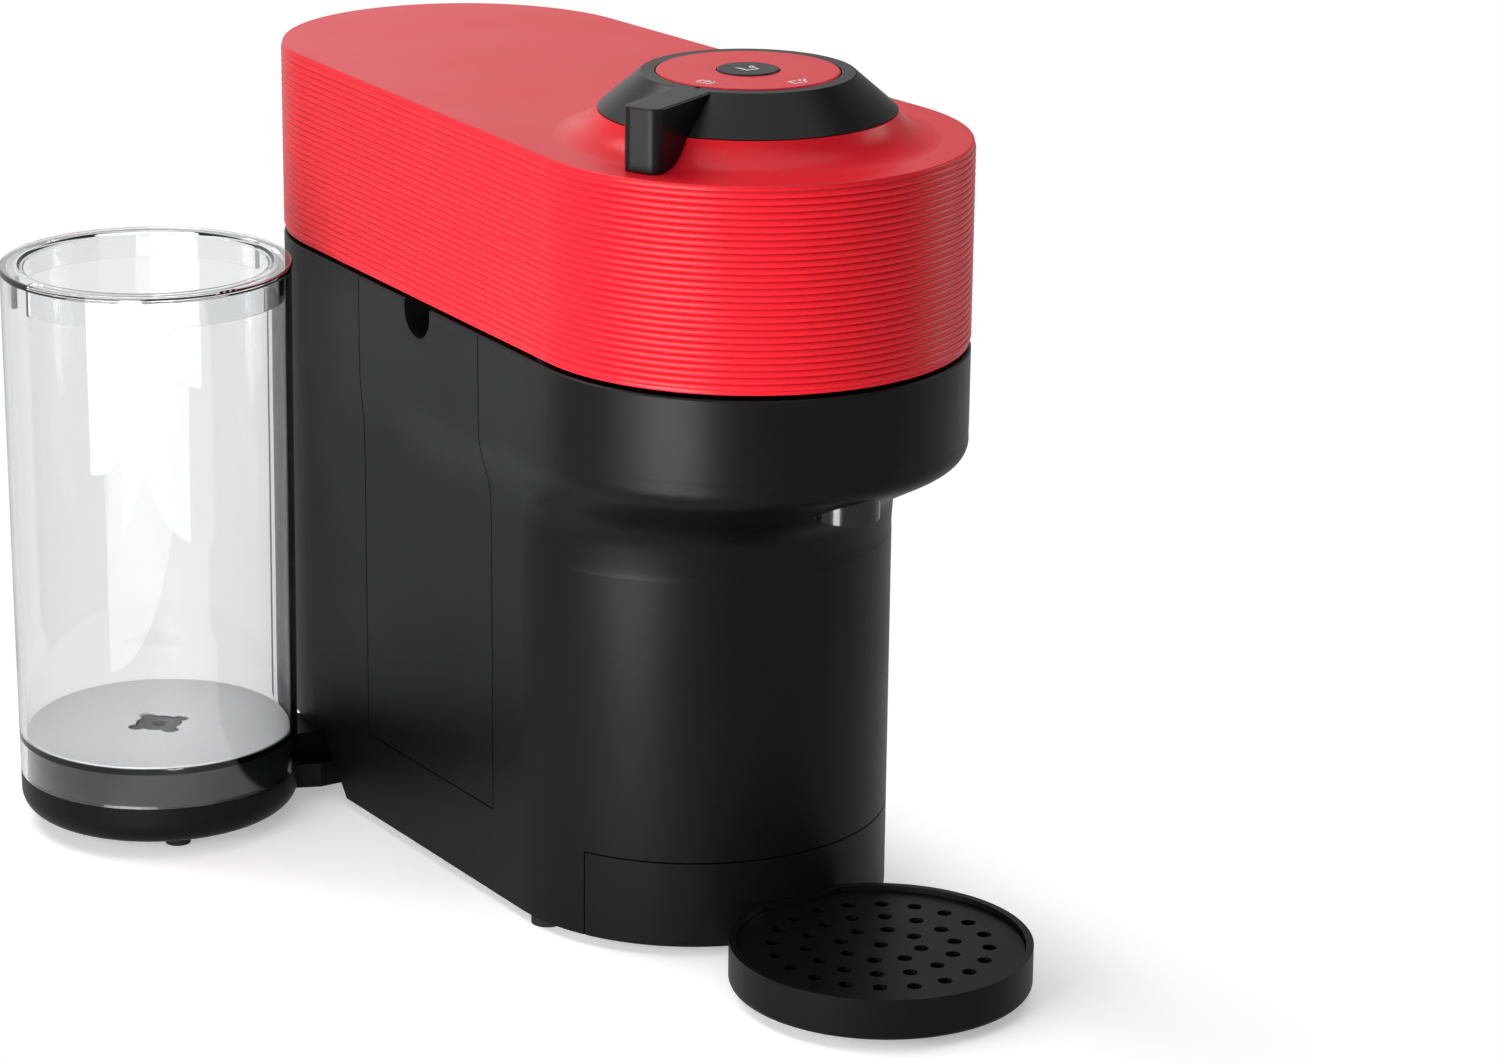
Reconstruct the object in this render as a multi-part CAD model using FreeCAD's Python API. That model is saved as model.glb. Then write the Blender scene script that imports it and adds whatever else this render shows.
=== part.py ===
import FreeCAD, Part
import math
import os

# Pod coffee machine: tilting head with a turning lever, swing-out water tank, lift-off tray.
# Millimetres. +Z is up, the floor is z = 0, the front faces -Y.
# The Z axis is the axis of the knob, the capsule and the front curve of the head.

V = FreeCAD.Vector
Z_AXIS = V(0, 0, 1)

# Plan of the head: a front circle and a smaller rear circle joined by tangents
FRONT_R = 67.0
REAR_R = 58.5
PLAN_LENGTH = 162.0
REAR_Y = PLAN_LENGTH + REAR_R

# Plan of the column under the head: its own front circle and the same rear circle
COLUMN_R = 60.5
COLUMN_Y = 27.0

# Heights: the disc on top, and what lies under it down to the seam of the head
DISC_Z = 263.2
KNOB_H = 11.0
RISE_H = 8.2
HEAD_H = 61.0
RING_Z = DISC_Z - KNOB_H
RIM_Z = RING_Z - RISE_H
SEAM_Z = RIM_Z - HEAD_H
BASE_Z = 3.0
PEG_R = 5.0
PEG_Y = 23.0
PAD_R = 12.0
PLINTH_Z = 30.0
PLINTH_END_Y = 2.0

# Walls and gaps; FAR is a reach well past the machine, for cuts that run right through
WALL = 2.6
FLOOR_T = 2.5
SEAM_GAP = 1.2
LINE_GAP = 0.3
PANEL_GAP = 0.45
FIT = 0.1
RUN_FIT = 0.06
FREE_GAP = 0.4
EDGE_ROUND = 0.5
FAR = 400.0

# Soft underside between the band (0) and the column (1): share of the way in, drop below the seam
UNDERSIDE = (
    (0.0, 26.0), (0.0, 29.2), (0.02, 32.2), (0.11, 35.2), (0.29, 38.5), (0.47, 41.5),
    (0.73, 45.7), (0.87, 49.0), (0.96, 52.7), (0.99, 56.6), (1.0, 61.0), (1.0, 65.0),
)

# Screws and the posts that they go into
SCREW_R = 1.6
SCREW_HEAD_R = 3.0
SCREW_HEAD_H = 1.8
SCREW_L = 12.0
BASE_SCREW_L = 24.0
MOTOR_SCREW_L = 6.6
POST_OUT_R = 4.0
BASE_POST_R = 5.0
POST_BITE = 0.4
BASE_BOSS_H = 12.0
LEDGE_T = 2.5
LEDGE_W = 3.0

# Red shell
RIB_PITCH = 2.0
RIB_DEPTH = 0.45
SHELL_WALL = 2.4
SHELL_LIFT = 0.2
RIM_ROUND = 0.7
RIM_LAND = 0.8
RIM_LAP = 11.0
RISE_RUN = 12.6
RISE_LIP = 0.4
HEAD_PLATE_T = 2.5
HEAD_PLATE_Z = SEAM_Z + 0.6
HEAD_POST_INSET = 16.0

# Lever ring, disc and button
RING_R = 44.0
RING_TOP_R = 31.6
RING_DROP = 0.3
DISC_R = 27.0
DISC_T = 4.0
BUTTON_R = 9.2
BUTTON_RISE = 0.4
LEVER_ANGLE = -154.5
LEVER_WIDTH = 12.2
LEVER_R = 60.4
LEVER_TIP_ROUND = 3.2
LEVER_LIFT = 0.4
INDEX_R = 0.9
SLEEVE_R = 32.6
SLEEVE_H = 9.2
SLEEVE_Z = RING_Z - SLEEVE_H

# Hinge of the head
HINGE_INSET = 9.5
HINGE_DROP = 5.0
HINGE_Y = REAR_Y - HINGE_INSET
HINGE_Z = SEAM_Z - HINGE_DROP
PIN_R = 2.0
PIN_BORE_R = 1.0
KNUCKLE_R = 4.0
LUG_X = 12.0
LUG_WIDTH = 6.0
HINGE_HALF = 31.0
HINGE_CLEAR = 9.0

# Capsule unit on the knob axis
DECK_DROP = 1.8
DECK_TOP_Z = SEAM_Z - DECK_DROP
DECK_T = 3.0
DECK_HOLE_R = 38.0
READER_HALF = 6.0
HOLDER_R = 33.0
HOLDER_H = 24.6
HOLDER_WALL = 2.5
HOLDER_TOP_Z = SEAM_Z - 4.4
HOLDER_FLOOR_Z = HOLDER_TOP_Z - HOLDER_H
SHAFT_R = 5.0
BEARING_R = 10.0
BEARING_H = 7.0
COLLECTOR_INSET = 21.0
COLLECTOR_R = FRONT_R - COLLECTOR_INSET
READER_Y = COLLECTOR_R + READER_HALF + 4
COLLECTOR_T = 2.0
COLLECTOR_Z = HOLDER_FLOOR_Z - 5.0
DUCT_HALF = 8.0
DUCT_H = 8.0
SPOUT_INSET = 13.0
SPOUT_Y = SPOUT_INSET - FRONT_R
SPOUT_R = 9.4
SPOUT_WALL = 3.0
SPOUT_H = 16.0
SPOUT_Z = COLLECTOR_Z + DUCT_H - SPOUT_H
CLAMP_R = 34.0
NEEDLE_R = 1.5
MOTOR_R = 29.0
MOTOR_H = 34.0
MOTOR_FLANGE_T = 2.5
MOTOR_FLANGE_Z = HEAD_PLATE_Z + HEAD_PLATE_T + MOTOR_FLANGE_T
MOTOR_Z = SEAM_Z + 14.0
MOTOR_TOP_Z = MOTOR_Z + MOTOR_H
POST_R = 22.0
TUBE_RISE = 5.6
BOARD_RISE = 11.0
BOARD_T = 1.6
DOME_H = 4.0
DOME_Z = MOTOR_TOP_Z + BOARD_RISE + BOARD_T

# Side panels
PANEL_Y0 = 46.0
PANEL_END = 36.5
PANEL_Y1 = PLAN_LENGTH - PANEL_END
PANEL_X = 22.0
NOTCH_WIDTH = 16.5
NOTCH_DEPTH = 10.6
NOTCH_POCKET = 14.0
NOTCH_WALL = 1.6

# Swing arm and the dock of the tank
SWIVEL_Y = PLAN_LENGTH + 6.0
HUB_R = 20.0
HUB_CAP_Z = 6.0
WATER_R = 3.2
ARM_RING_R = 28.0
ARM_WIDTH = 18.0
ARM_TOP_Z = 20.5
ARM_FOOT_H = 8.0
ARM_FLARE = 8.0
RECESS_Z = 22.0
RECESS_Y0 = SWIVEL_Y - 27.0
RECESS_Y1 = SWIVEL_Y - 11.5
DOCK_R = 44.4
DOCK_Z = 16.7
DOCK_BOTTOM_Z = 4.0
DOCK_ROUND = 7.0
BODY_TO_DOCK = 7.9
TANK_X = -(REAR_R + BODY_TO_DOCK + DOCK_R)
TANK_Y = SWIVEL_Y + 2.8
GLIDE_R = 4.0
GLIDE_Z = 0.3
GLIDE_RING_R = DOCK_R - 14.4

# Tank, lid and valve
TANK_TOP_R = 45.4
TANK_WALL = 2.0
TANK_TOP_Z = 181.3
TANK_FLOOR_Z = 28.0
WELL_R = 14.5
WELL_Z = 21.0
LID_R = 45.7
LID_T = 1.7
LID_ROUND = 0.6
LID_DISH_R = 38.4
LID_DISH = 0.7
PLUG_H = 8.8
PLUG_T = 1.6
PLUG_GAP = 10.0
VALVE_R = 6.0
PORT_R = 9.0
SEAT_R = 8.5
GUARD_R = 10.4
GUARD_HUB_R = 6.6
GUARD_T = 1.8

# Tray
TRAY_R = 45.0
TRAY_REACH = 41.5
TRAY_Y = COLUMN_Y - COLUMN_R - TRAY_REACH
TRAY_TOP_Z = 16.0
TRAY_WALL = 2.2
GRID_DROP = 1.6
GRID_T = 2.0
GRID_HOLE_R = 2.2
GRID_PITCH = 10.0
TONGUE_WIDTH = 24.0
TONGUE_Z = 6.2
TONGUE_T = 3.0

# Pump, flow meter, heater and control board inside the column
PUMP_X = 28.0
PUMP_Z = 40.0
PUMP_Y = RECESS_Y0 - 69.0
COIL_WIDTH = 32.0
COIL_L = 38.0
COIL_H = 36.0
INLET_R = 9.0
INLET_L = 18.0
OUTLET_R = 11.0
OUTLET_L = 16.0
NIPPLE_R = 3.5
NIPPLE_L = 10.0
SADDLE_L = 10.0
SADDLE_RIM = 4.0
PRESS = 0.02
METER_R = 13.0
METER_H = 16.0
METER_Y = PUMP_Y - INLET_L - NIPPLE_L - 16.0
HEATER_X = -34.0
HEATER_Y = 23.5
HEATER_WIDTH = 24.0
HEATER_L = 73.0
HEATER_H = 84.0
HEATER_RIB = 3.0
BRACKET_T = 1.5
BRACKET_H = 26.0
BOARD_Y = REAR_Y - 24.5
BOARD_WIDTH = 60.0
BOARD_H = 78.0
RAIL_H = 9.0
TUBE_R = 3.0
HOT_TUBE_R = 2.4
PRESSURE_RISE = 12.0
HEAD_TUBE_R = 1.6
GLAND_R = 7.0
GLAND_Z = 48.0
GLAND_FLANGE = 2.5
LEAD_R = 3.6


def box(x0, x1, y0, y1, z0, z1):
    return Part.makeBox(x1 - x0, y1 - y0, z1 - z0, V(x0, y0, z0))


def cylinder(r, z0, z1, x=0.0, y=0.0):
    return Part.makeCylinder(r, z1 - z0, V(x, y, z0))


def tube(r_out, r_in, z0, z1, x=0.0, y=0.0):
    return cylinder(r_out, z0, z1, x, y).cut(cylinder(r_in, z0 - 1, z1 + 1, x, y))


def rod_x(r, x0, x1, y, z):
    return Part.makeCylinder(r, x1 - x0, V(x0, y, z), V(1, 0, 0))


def rod_y(r, y0, y1, x, z):
    return Part.makeCylinder(r, y1 - y0, V(x, y0, z), V(0, 1, 0))


def prism_x(points, x0, x1):
    """Extrude a polygon drawn in (y, z) along X."""
    wire = Part.makePolygon([V(x0, y, z) for y, z in points + points[:1]])
    return Part.Face(wire).extrude(V(x1 - x0, 0, 0))


def turned(points, x=0.0, y=0.0):
    """Revolve a polygon drawn in (r, z) about the vertical line at x, y."""
    wire = Part.makePolygon([V(x + r, y, z) for r, z in points + points[:1]])
    return Part.Face(wire).revolve(V(x, y, 0), Z_AXIS, 360)


def fused(first, *others):
    return first.fuse(list(others)).removeSplitter()


def mirrored(shape):
    return shape.mirror(V(0, 0, 0), V(1, 0, 0))


def pipe(points, r_out, bend):
    """Round tube through the points, with its corners rounded to the bend radius."""
    edges = []
    start = points[0]
    for before, corner, after in zip(points, points[1:], points[2:]):
        to_back = (before - corner).normalize()
        to_next = (after - corner).normalize()
        half = to_back.getAngle(to_next) / 2.0
        trim = bend / math.tan(half)
        enter = corner + to_back * trim
        leave = corner + to_next * trim
        middle_dir = (to_back + to_next).normalize()
        middle = corner + middle_dir * (bend / math.sin(half) - bend)
        edges.append(Part.makeLine(start, enter))
        edges.append(Part.Arc(enter, middle, leave).toShape())
        start = leave
    edges.append(Part.makeLine(start, points[-1]))
    path = Part.Wire(edges)
    direction = points[1] - points[0]
    ring = Part.Wire(Part.makeCircle(r_out, points[0], direction))
    return path.makePipeShell([ring], True, False)


def quarter(start, centre, end):
    """Quarter of a circle from start to end about the centre."""
    middle = centre + (start + end - centre * 2) * math.sqrt(0.5)
    return Part.Arc(start, middle, end).toShape()


def tangent_angle(r1, r2, length):
    return math.asin((r1 - r2) / length)


def plan_wire(r1, y1, r2, y2, z):
    """Closed outline of two circles and their outer tangents at height z."""
    a = tangent_angle(r1, r2, y2 - y1)
    c, s = math.cos(a), math.sin(a)
    left_front, right_front = V(-r1 * c, y1 + r1 * s, z), V(r1 * c, y1 + r1 * s, z)
    left_rear, right_rear = V(-r2 * c, y2 + r2 * s, z), V(r2 * c, y2 + r2 * s, z)
    return Part.Wire([
        Part.Arc(left_front, V(0, y1 - r1, z), right_front).toShape(),
        Part.makeLine(right_front, right_rear),
        Part.Arc(right_rear, V(0, y2 + r2, z), left_rear).toShape(),
        Part.makeLine(left_rear, left_front),
    ])


def plan_radius(share):
    return FRONT_R + (COLUMN_R - FRONT_R) * share


def blend_wire(share, inset, z):
    """Plan between the head's (share 0) and the column's (share 1)."""
    return plan_wire(plan_radius(share) - inset, COLUMN_Y * share, REAR_R - inset, PLAN_LENGTH, z)


def half_width(share, inset, y):
    """Half the width at y of a plan that is drawn in by the inset."""
    r1, y1, r2 = plan_radius(share) - inset, COLUMN_Y * share, REAR_R - inset
    a = tangent_angle(r1, r2, PLAN_LENGTH - y1)
    if y < y1 + r1 * math.sin(a):
        return math.sqrt(r1 ** 2 - (y - y1) ** 2)
    if y > PLAN_LENGTH + r2 * math.sin(a):
        return math.sqrt(r2 ** 2 - (y - PLAN_LENGTH) ** 2)
    return (r1 - (y - y1) * math.sin(a)) / math.cos(a)


def screw_pairs(share, inset, rows):
    """Places of screws on both sides, at the inset from the wall."""
    return [(side * half_width(share, inset, y), y) for y in rows for side in (-1, 1)]


def plan_prism(share, inset, z0, z1):
    return Part.Face(blend_wire(share, inset, z0)).extrude(V(0, 0, z1 - z0))


def body_solid(inset, lift, z0, z1):
    """Band, soft underside and column in one solid, drawn in by the inset."""
    heights = [SEAM_Z - drop + lift for share, drop in UNDERSIDE]
    sections = [blend_wire(share, inset, z) for (share, drop), z in zip(UNDERSIDE, heights)]
    middle = Part.makeLoft(sections, True, False)
    band = plan_prism(0.0, inset, heights[0], z1)
    column = plan_prism(1.0, inset, z0, heights[-1])
    return fused(middle, band, column)


def body_outer():
    top = SEAM_Z - SEAM_GAP
    body = body_solid(0.0, 0.0, BASE_Z, top)
    return body.makeChamfer(EDGE_ROUND, [e for e in body.Edges if e.BoundBox.ZMin > top - 0.01])


def body_inner(extra=0.0):
    return body_solid(WALL + extra, WALL + extra, BASE_Z - 10, SEAM_Z + 10)


def arm_recess(grow=0.0):
    """Open space under the rear of the body in which the swing arm moves."""
    y0, y1, top, low = RECESS_Y0 - grow, RECESS_Y1 - grow, RECESS_Z + grow, BASE_Z - 9
    slope = prism_x([(y0, low), (y0, BASE_Z), (y1, top), (FAR, top), (FAR, low)], -FAR, FAR)
    return fused(slope, cylinder(ARM_RING_R + 2 + grow, low, top, 0, SWIVEL_Y))


def notch_prism(grow, x0, x1):
    """U-shaped finger notch in the top edge of a side panel."""
    y = (PANEL_Y0 + PANEL_Y1) / 2.0
    top = SEAM_Z + 2
    half = NOTCH_WIDTH / 2.0 + grow
    centre_z = SEAM_Z - SEAM_GAP - NOTCH_DEPTH + NOTCH_WIDTH / 2.0
    round_end = rod_x(half, x0, x1, y, centre_z)
    return fused(round_end, box(x0, x1, y - half, y + half, centre_z, top))


def panel_window(gap):
    """Left window of a side panel."""
    return box(-FAR, PANEL_X - FRONT_R, PANEL_Y0 + gap, PANEL_Y1 - gap, PLINTH_Z + gap, SEAM_Z + 5)


def plinth_zone(gap):
    return box(-FAR, FAR, -FAR, PLINTH_END_Y - gap, BASE_Z - 5, PLINTH_Z - gap)


def hinge_notch():
    """Gap in the rear top edge of the body into which the head's edge swings."""
    return box(-HINGE_HALF, HINGE_HALF, HINGE_Y - HINGE_CLEAR, FAR, HINGE_Z - 2.5, SEAM_Z + 5)


def deck_ledge():
    """Ledge with four screw posts that carries the deck."""
    top = DECK_TOP_Z - DECK_T
    inside = plan_prism(0.0, WALL + LEDGE_W, top - FAR, top + FAR)
    ledge = plan_prism(0.0, WALL - POST_BITE, top - LEDGE_T, top).cut(inside)
    posts = [cylinder(POST_OUT_R, top - SCREW_L, top, x, y) for x, y in DECK_SCREWS]
    holes = [cylinder(SCREW_R - FIT, top - SCREW_L - 1, top + 1, x, y) for x, y in DECK_SCREWS]
    return fused(ledge, *posts).cut(holes)


def base_posts():
    """Posts inside the wall that take the screws of the base plate."""
    z0 = BASE_Z + BASE_BOSS_H
    posts = [cylinder(BASE_POST_R, z0, z0 + 18, x, y) for x, y in BASE_SCREWS]
    holes = [cylinder(SCREW_R - FIT, z0 - 1, z0 + 14, x, y) for x, y in BASE_SCREWS]
    return Part.makeCompound(posts).cut(holes)


def make_housing():
    shell = fused(body_outer().cut(body_inner()), deck_ledge(), base_posts().common(body_outer()))
    cuts = [panel_window(0), mirrored(panel_window(0)), plinth_zone(0), arm_recess(), hinge_notch()]
    cuts.append(cylinder(SPOUT_R + LINE_GAP, SPOUT_Z - 9, SEAM_Z, 0, SPOUT_Y))
    cuts.append(rod_y(GLAND_R, PLAN_LENGTH, FAR, 0, GLAND_Z))
    return shell.cut(cuts)


def make_panel():
    """Left panel: skin in the window, a clip flange behind it and a closed notch pocket."""
    edge = PANEL_X - FRONT_R
    skin = body_outer().cut(body_inner()).common(panel_window(PANEL_GAP))
    flange_top = DECK_TOP_Z - DECK_T - LEDGE_T - 1
    flange_zone = box(-FAR, edge, PANEL_Y0 - 3, PANEL_Y1 + 3, PLINTH_Z - 3, flange_top)
    flange = body_inner(0.03).cut(body_inner(1.2)).common(flange_zone)
    core = body_inner(-0.5).cut(body_inner(1.2)).common(panel_window(PANEL_GAP))
    core = core.common(box(-FAR, 0, PANEL_Y0 + 2, PANEL_Y1 - 2, PLINTH_Z + 2, flange_top))
    pocket_x = NOTCH_POCKET - FRONT_R
    pocket = notch_prism(NOTCH_WALL, 2 - FRONT_R, pocket_x + NOTCH_WALL)
    pocket = pocket.common(box(-FAR, 0, 0, FAR, 0, SEAM_Z - SEAM_GAP)).common(body_outer())
    panel = fused(skin, flange, core, pocket)
    return panel.cut(notch_prism(0.0, -FAR, pocket_x))


def make_plinth():
    ring = plan_prism(1.0, 0.0, BASE_Z, PLINTH_Z).cut(plan_prism(1.0, WALL, BASE_Z - 1, PLINTH_Z + 1))
    half = TONGUE_WIDTH / 2 + FREE_GAP
    slot = box(-half, half, -FAR, 0, TONGUE_Z - FREE_GAP, TONGUE_Z + TONGUE_T + FREE_GAP)
    return ring.common(plinth_zone(PANEL_GAP)).cut(slot)


def make_base_plate():
    """Floor of the body, stepped up at the rear over the recess, with the hub of the swing arm."""
    inside = plan_prism(1.0, WALL + FIT, BASE_Z, SEAM_Z)
    floor = box(-FAR, FAR, -FAR, RECESS_Y1, BASE_Z, BASE_Z + FLOOR_T)
    plate = fused(floor, arm_recess(FLOOR_T)).common(inside).cut(arm_recess())
    plate = fused(plate, cylinder(HUB_R, HUB_CAP_Z, RECESS_Z + 0.5, 0, SWIVEL_Y))
    for x, y in BASE_SCREWS:
        plate = fused(plate, cylinder(POST_OUT_R, BASE_Z, BASE_Z + BASE_BOSS_H, x, y).common(inside))
        plate = plate.cut(cylinder(SCREW_R, BASE_Z - 1, BASE_Z + BASE_BOSS_H + 1, x, y))
    for x, y in HUB_SCREWS:
        plate = plate.cut(cylinder(SCREW_R, HUB_CAP_Z - 1, HUB_CAP_Z + SCREW_L, x, y))
    return plate.cut(cylinder(WATER_R, HUB_CAP_Z - 1, FAR, 0, SWIVEL_Y))


def make_hub_cap():
    cap = cylinder(ARM_RING_R - 2, BASE_Z, HUB_CAP_Z, 0, SWIVEL_Y)
    for x, y in HUB_SCREWS:
        cap = cap.cut(cylinder(SCREW_R, 0, 20, x, y))
        cap = cap.cut(cylinder(SCREW_HEAD_R + FIT, 0, BASE_Z + SCREW_HEAD_H, x, y))
    return cap


def screw(x, y, z, length):
    """Pan-head screw driven upwards, its head starting at z."""
    head = cylinder(SCREW_HEAD_R, z, z + SCREW_HEAD_H, x, y)
    return fused(head, cylinder(SCREW_R - FIT, z + SCREW_HEAD_H - 0.5, z + length, x, y))


def make_screws(places, z, length):
    return Part.makeCompound([screw(x, y, z, length) for x, y in places])


def make_screws_down(places, z, length):
    """The same screws driven downwards, the underside of their heads at z."""
    screws = make_screws(places, -SCREW_HEAD_H, length).mirror(V(0, 0, 0), Z_AXIS)
    screws.translate(V(0, 0, z))
    return screws


def make_feet():
    """Two pegs at the front sides, a pad under the knob axis and a disc under the hub."""
    peg_x = half_width(1.0, PEG_R + POST_BITE, PEG_Y)
    pegs = [cylinder(PEG_R, 0, BASE_Z, x, PEG_Y) for x in (-peg_x, peg_x)]
    disc = cylinder(HUB_R - 8.5, 0, BASE_Z, 0, SWIVEL_Y)
    return Part.makeCompound(pegs + [cylinder(PAD_R, 0, BASE_Z), disc])


def make_deck():
    """Plate that closes the body under the head, with the hinge knuckle at its rear."""
    z0 = DECK_TOP_Z - DECK_T
    plate = plan_prism(0.0, WALL + FIT, z0, DECK_TOP_Z).cut(cylinder(DECK_HOLE_R, 0, FAR))
    plate = plate.cut(box(-HINGE_HALF, HINGE_HALF, HINGE_Y - HINGE_CLEAR, FAR, 0, FAR))
    y = (PANEL_Y0 + PANEL_Y1) / 2.0
    for x in (6 - FRONT_R, FRONT_R - 6):
        plate = plate.cut(box(x - 12, x + 12, y - NOTCH_WIDTH, y + NOTCH_WIDTH, 0, FAR))
    half = LUG_X - LUG_WIDTH / 2.0 - FREE_GAP
    knuckle = rod_x(KNUCKLE_R, -half, half, HINGE_Y, HINGE_Z)
    web = box(-half, half, HINGE_Y - HINGE_CLEAR - 3, HINGE_Y, HINGE_Z - 3, HINGE_Z + 2)
    plate = fused(plate, knuckle, web).cut(rod_x(PIN_R + RUN_FIT, -FAR, FAR, HINGE_Y, HINGE_Z))
    for x, y in DECK_SCREWS:
        plate = plate.cut(cylinder(SCREW_R, z0 - 1, DECK_TOP_Z + 1, x, y))
    reader = box(-READER_HALF, READER_HALF, READER_Y - READER_HALF, READER_Y + READER_HALF, z0 - 1, SEAM_Z)
    return plate.cut(reader)


def make_code_reader():
    """Optical reader of the capsule's edge code, let into the deck."""
    z0 = DECK_TOP_Z - DECK_T
    half = READER_HALF - FIT
    rim = READER_HALF + 2
    body = box(-half, half, READER_Y - half, READER_Y + half, z0 - 8, DECK_TOP_Z)
    return fused(body, box(-rim, rim, READER_Y - rim, READER_Y + rim, z0 - 8, z0))


def make_collector():
    """Bowl that catches the spun-out coffee, with the seat of the lower bearing."""
    floor = COLLECTOR_Z + COLLECTOR_T
    top = DECK_TOP_Z - DECK_T
    seat = COLLECTOR_Z - BEARING_H + 1
    bore, hub, inner = BEARING_R + PRESS, BEARING_R + 3, COLLECTOR_R - COLLECTOR_T
    bowl = turned([
        (bore, seat), (hub, seat), (hub, COLLECTOR_Z), (COLLECTOR_R, COLLECTOR_Z),
        (COLLECTOR_R, top), (inner, top), (inner, floor), (bore, floor),
    ])
    return bowl.cut(duct_bore(floor, floor + 4))


def duct_bore(z0, z1):
    """Channel from the bowl to the spout."""
    half = DUCT_HALF - 3
    return box(-half, half, SPOUT_Y, -COLLECTOR_R + 4, z0, z1)


def make_spout():
    """Outlet under the head, joined to the bowl by a short duct."""
    top = COLLECTOR_Z + DUCT_H
    body = cylinder(SPOUT_R, SPOUT_Z, top, 0, SPOUT_Y)
    duct = box(-DUCT_HALF, DUCT_HALF, SPOUT_Y, -COLLECTOR_R + DUCT_HALF, COLLECTOR_Z + 0.5, top)
    spout = fused(body, duct).cut(cylinder(COLLECTOR_R + FIT, 0, FAR))
    spout = spout.cut(cylinder(SPOUT_R - SPOUT_WALL, SPOUT_Z - 1, top - COLLECTOR_T, 0, SPOUT_Y))
    return spout.cut(duct_bore(COLLECTOR_Z + COLLECTOR_T, top - COLLECTOR_T))


def make_holder_bearing():
    z1 = COLLECTOR_Z + 1
    return tube(BEARING_R, SHAFT_R + RUN_FIT, z1 - BEARING_H, z1)


def make_capsule_holder():
    """Drum that carries and spins the capsule."""
    floor, inner = HOLDER_FLOOR_Z + HOLDER_WALL, HOLDER_R - HOLDER_WALL
    drum = turned([
        (0, HOLDER_FLOOR_Z), (HOLDER_R - 6, HOLDER_FLOOR_Z), (HOLDER_R, HOLDER_FLOOR_Z + 6),
        (HOLDER_R, HOLDER_TOP_Z), (inner, HOLDER_TOP_Z), (inner - 5, floor), (0, floor),
    ])
    return fused(drum, cylinder(SHAFT_R, COLLECTOR_Z - BEARING_H - 1, HOLDER_FLOOR_Z + 1))


def ribbed_profile(r):
    """Half-section of the red shell's wall: ribs outside, a crisp rim, flat top."""
    foot = SEAM_Z + SHELL_LIFT
    last = RIM_Z - RIM_ROUND - RIM_LAND
    count = int((last - foot - EDGE_ROUND) / RIB_PITCH)
    first = last - count * RIB_PITCH
    deep = r - RIB_DEPTH
    inner = deep - SHELL_WALL
    land = r - RIM_LAP - 1
    corner = V(deep - EDGE_ROUND, 0, foot + EDGE_ROUND)
    low, high = corner + V(0, 0, -EDGE_ROUND), corner + V(EDGE_ROUND, 0, 0)
    edges = [Part.makeLine(V(inner, 0, foot), low), quarter(low, corner, high)]
    edges.append(Part.makeLine(high, V(deep, 0, first)))
    for i in range(count):
        z = first + i * RIB_PITCH
        crest = V(r, 0, z + RIB_PITCH / 2)
        edges.append(Part.Arc(V(deep, 0, z), crest, V(deep, 0, z + RIB_PITCH)).toShape())
    centre = V(deep - RIM_ROUND, 0, RIM_Z - RIM_ROUND)
    shoulder, crown = centre + V(RIM_ROUND, 0, 0), centre + V(0, 0, RIM_ROUND)
    edges.append(Part.makeLine(V(deep, 0, last), shoulder))
    edges.append(quarter(shoulder, centre, crown))
    under = RIM_Z - SHELL_WALL
    points = [crown, V(land, 0, RIM_Z), V(land, 0, under), V(inner, 0, under), V(inner, 0, foot)]
    edges += [Part.makeLine(a, b) for a, b in zip(points, points[1:])]
    return Part.Face(Part.Wire(edges))


def ribbed_wall():
    """The profile carried round the plan: turned at both ends, drawn straight along the sides."""
    a = tangent_angle(FRONT_R, REAR_R, PLAN_LENGTH)
    a_deg = math.degrees(a)
    front = ribbed_profile(FRONT_R)
    front.rotate(V(0, 0, 0), Z_AXIS, 180 - a_deg)
    front = front.revolve(V(0, 0, 0), Z_AXIS, 180 + 2 * a_deg)
    rear = ribbed_profile(REAR_R)
    rear.rotate(V(0, 0, 0), Z_AXIS, a_deg)
    rear.translate(V(0, PLAN_LENGTH, 0))
    rear = rear.revolve(V(0, PLAN_LENGTH, 0), Z_AXIS, 180 - 2 * a_deg)
    side = ribbed_profile(FRONT_R)
    side.rotate(V(0, 0, 0), Z_AXIS, a_deg)
    run = V((REAR_R - FRONT_R) * math.cos(a), PLAN_LENGTH + (REAR_R - FRONT_R) * math.sin(a), 0)
    side = side.extrude(run)
    return front.fuse([side, rear, mirrored(side)])


def rise_radius():
    """Radius of the concave rise that leaves the flat top at a tangent and ends at the lever ring."""
    rise = RISE_H - RING_DROP
    return (RISE_RUN ** 2 + rise ** 2) / (2 * rise)


def rise_arc(lift):
    """Low end, middle and high end of the rise's curve, lifted off it by a clearance."""
    radius = rise_radius()
    centre = V(RING_R + RISE_LIP + RISE_RUN, 0, RIM_Z + radius)
    sweep = math.asin(RISE_RUN / radius)
    turns = (0.0, sweep / 2, sweep)
    return [centre + V(-math.sin(t), 0, -math.cos(t)) * (radius - lift) for t in turns]


def rise_profile():
    """Half-section of the concave rise from the flat top to the lever ring."""
    low, middle, high = rise_arc(0.0)
    t = SHELL_WALL
    sleeve = SLEEVE_R + FREE_GAP
    points = [
        high, V(sleeve, 0, high.z), V(sleeve, 0, high.z - t), V(high.x - 1, 0, high.z - t),
        V(middle.x - 1, 0, middle.z - t), V(low.x - 4, 0, RIM_Z - t), V(low.x, 0, RIM_Z - t), low,
    ]
    edges = [Part.Arc(low, middle, high).toShape()]
    edges += [Part.makeLine(a, b) for a, b in zip(points, points[1:])]
    return Part.Face(Part.Wire(edges))


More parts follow.
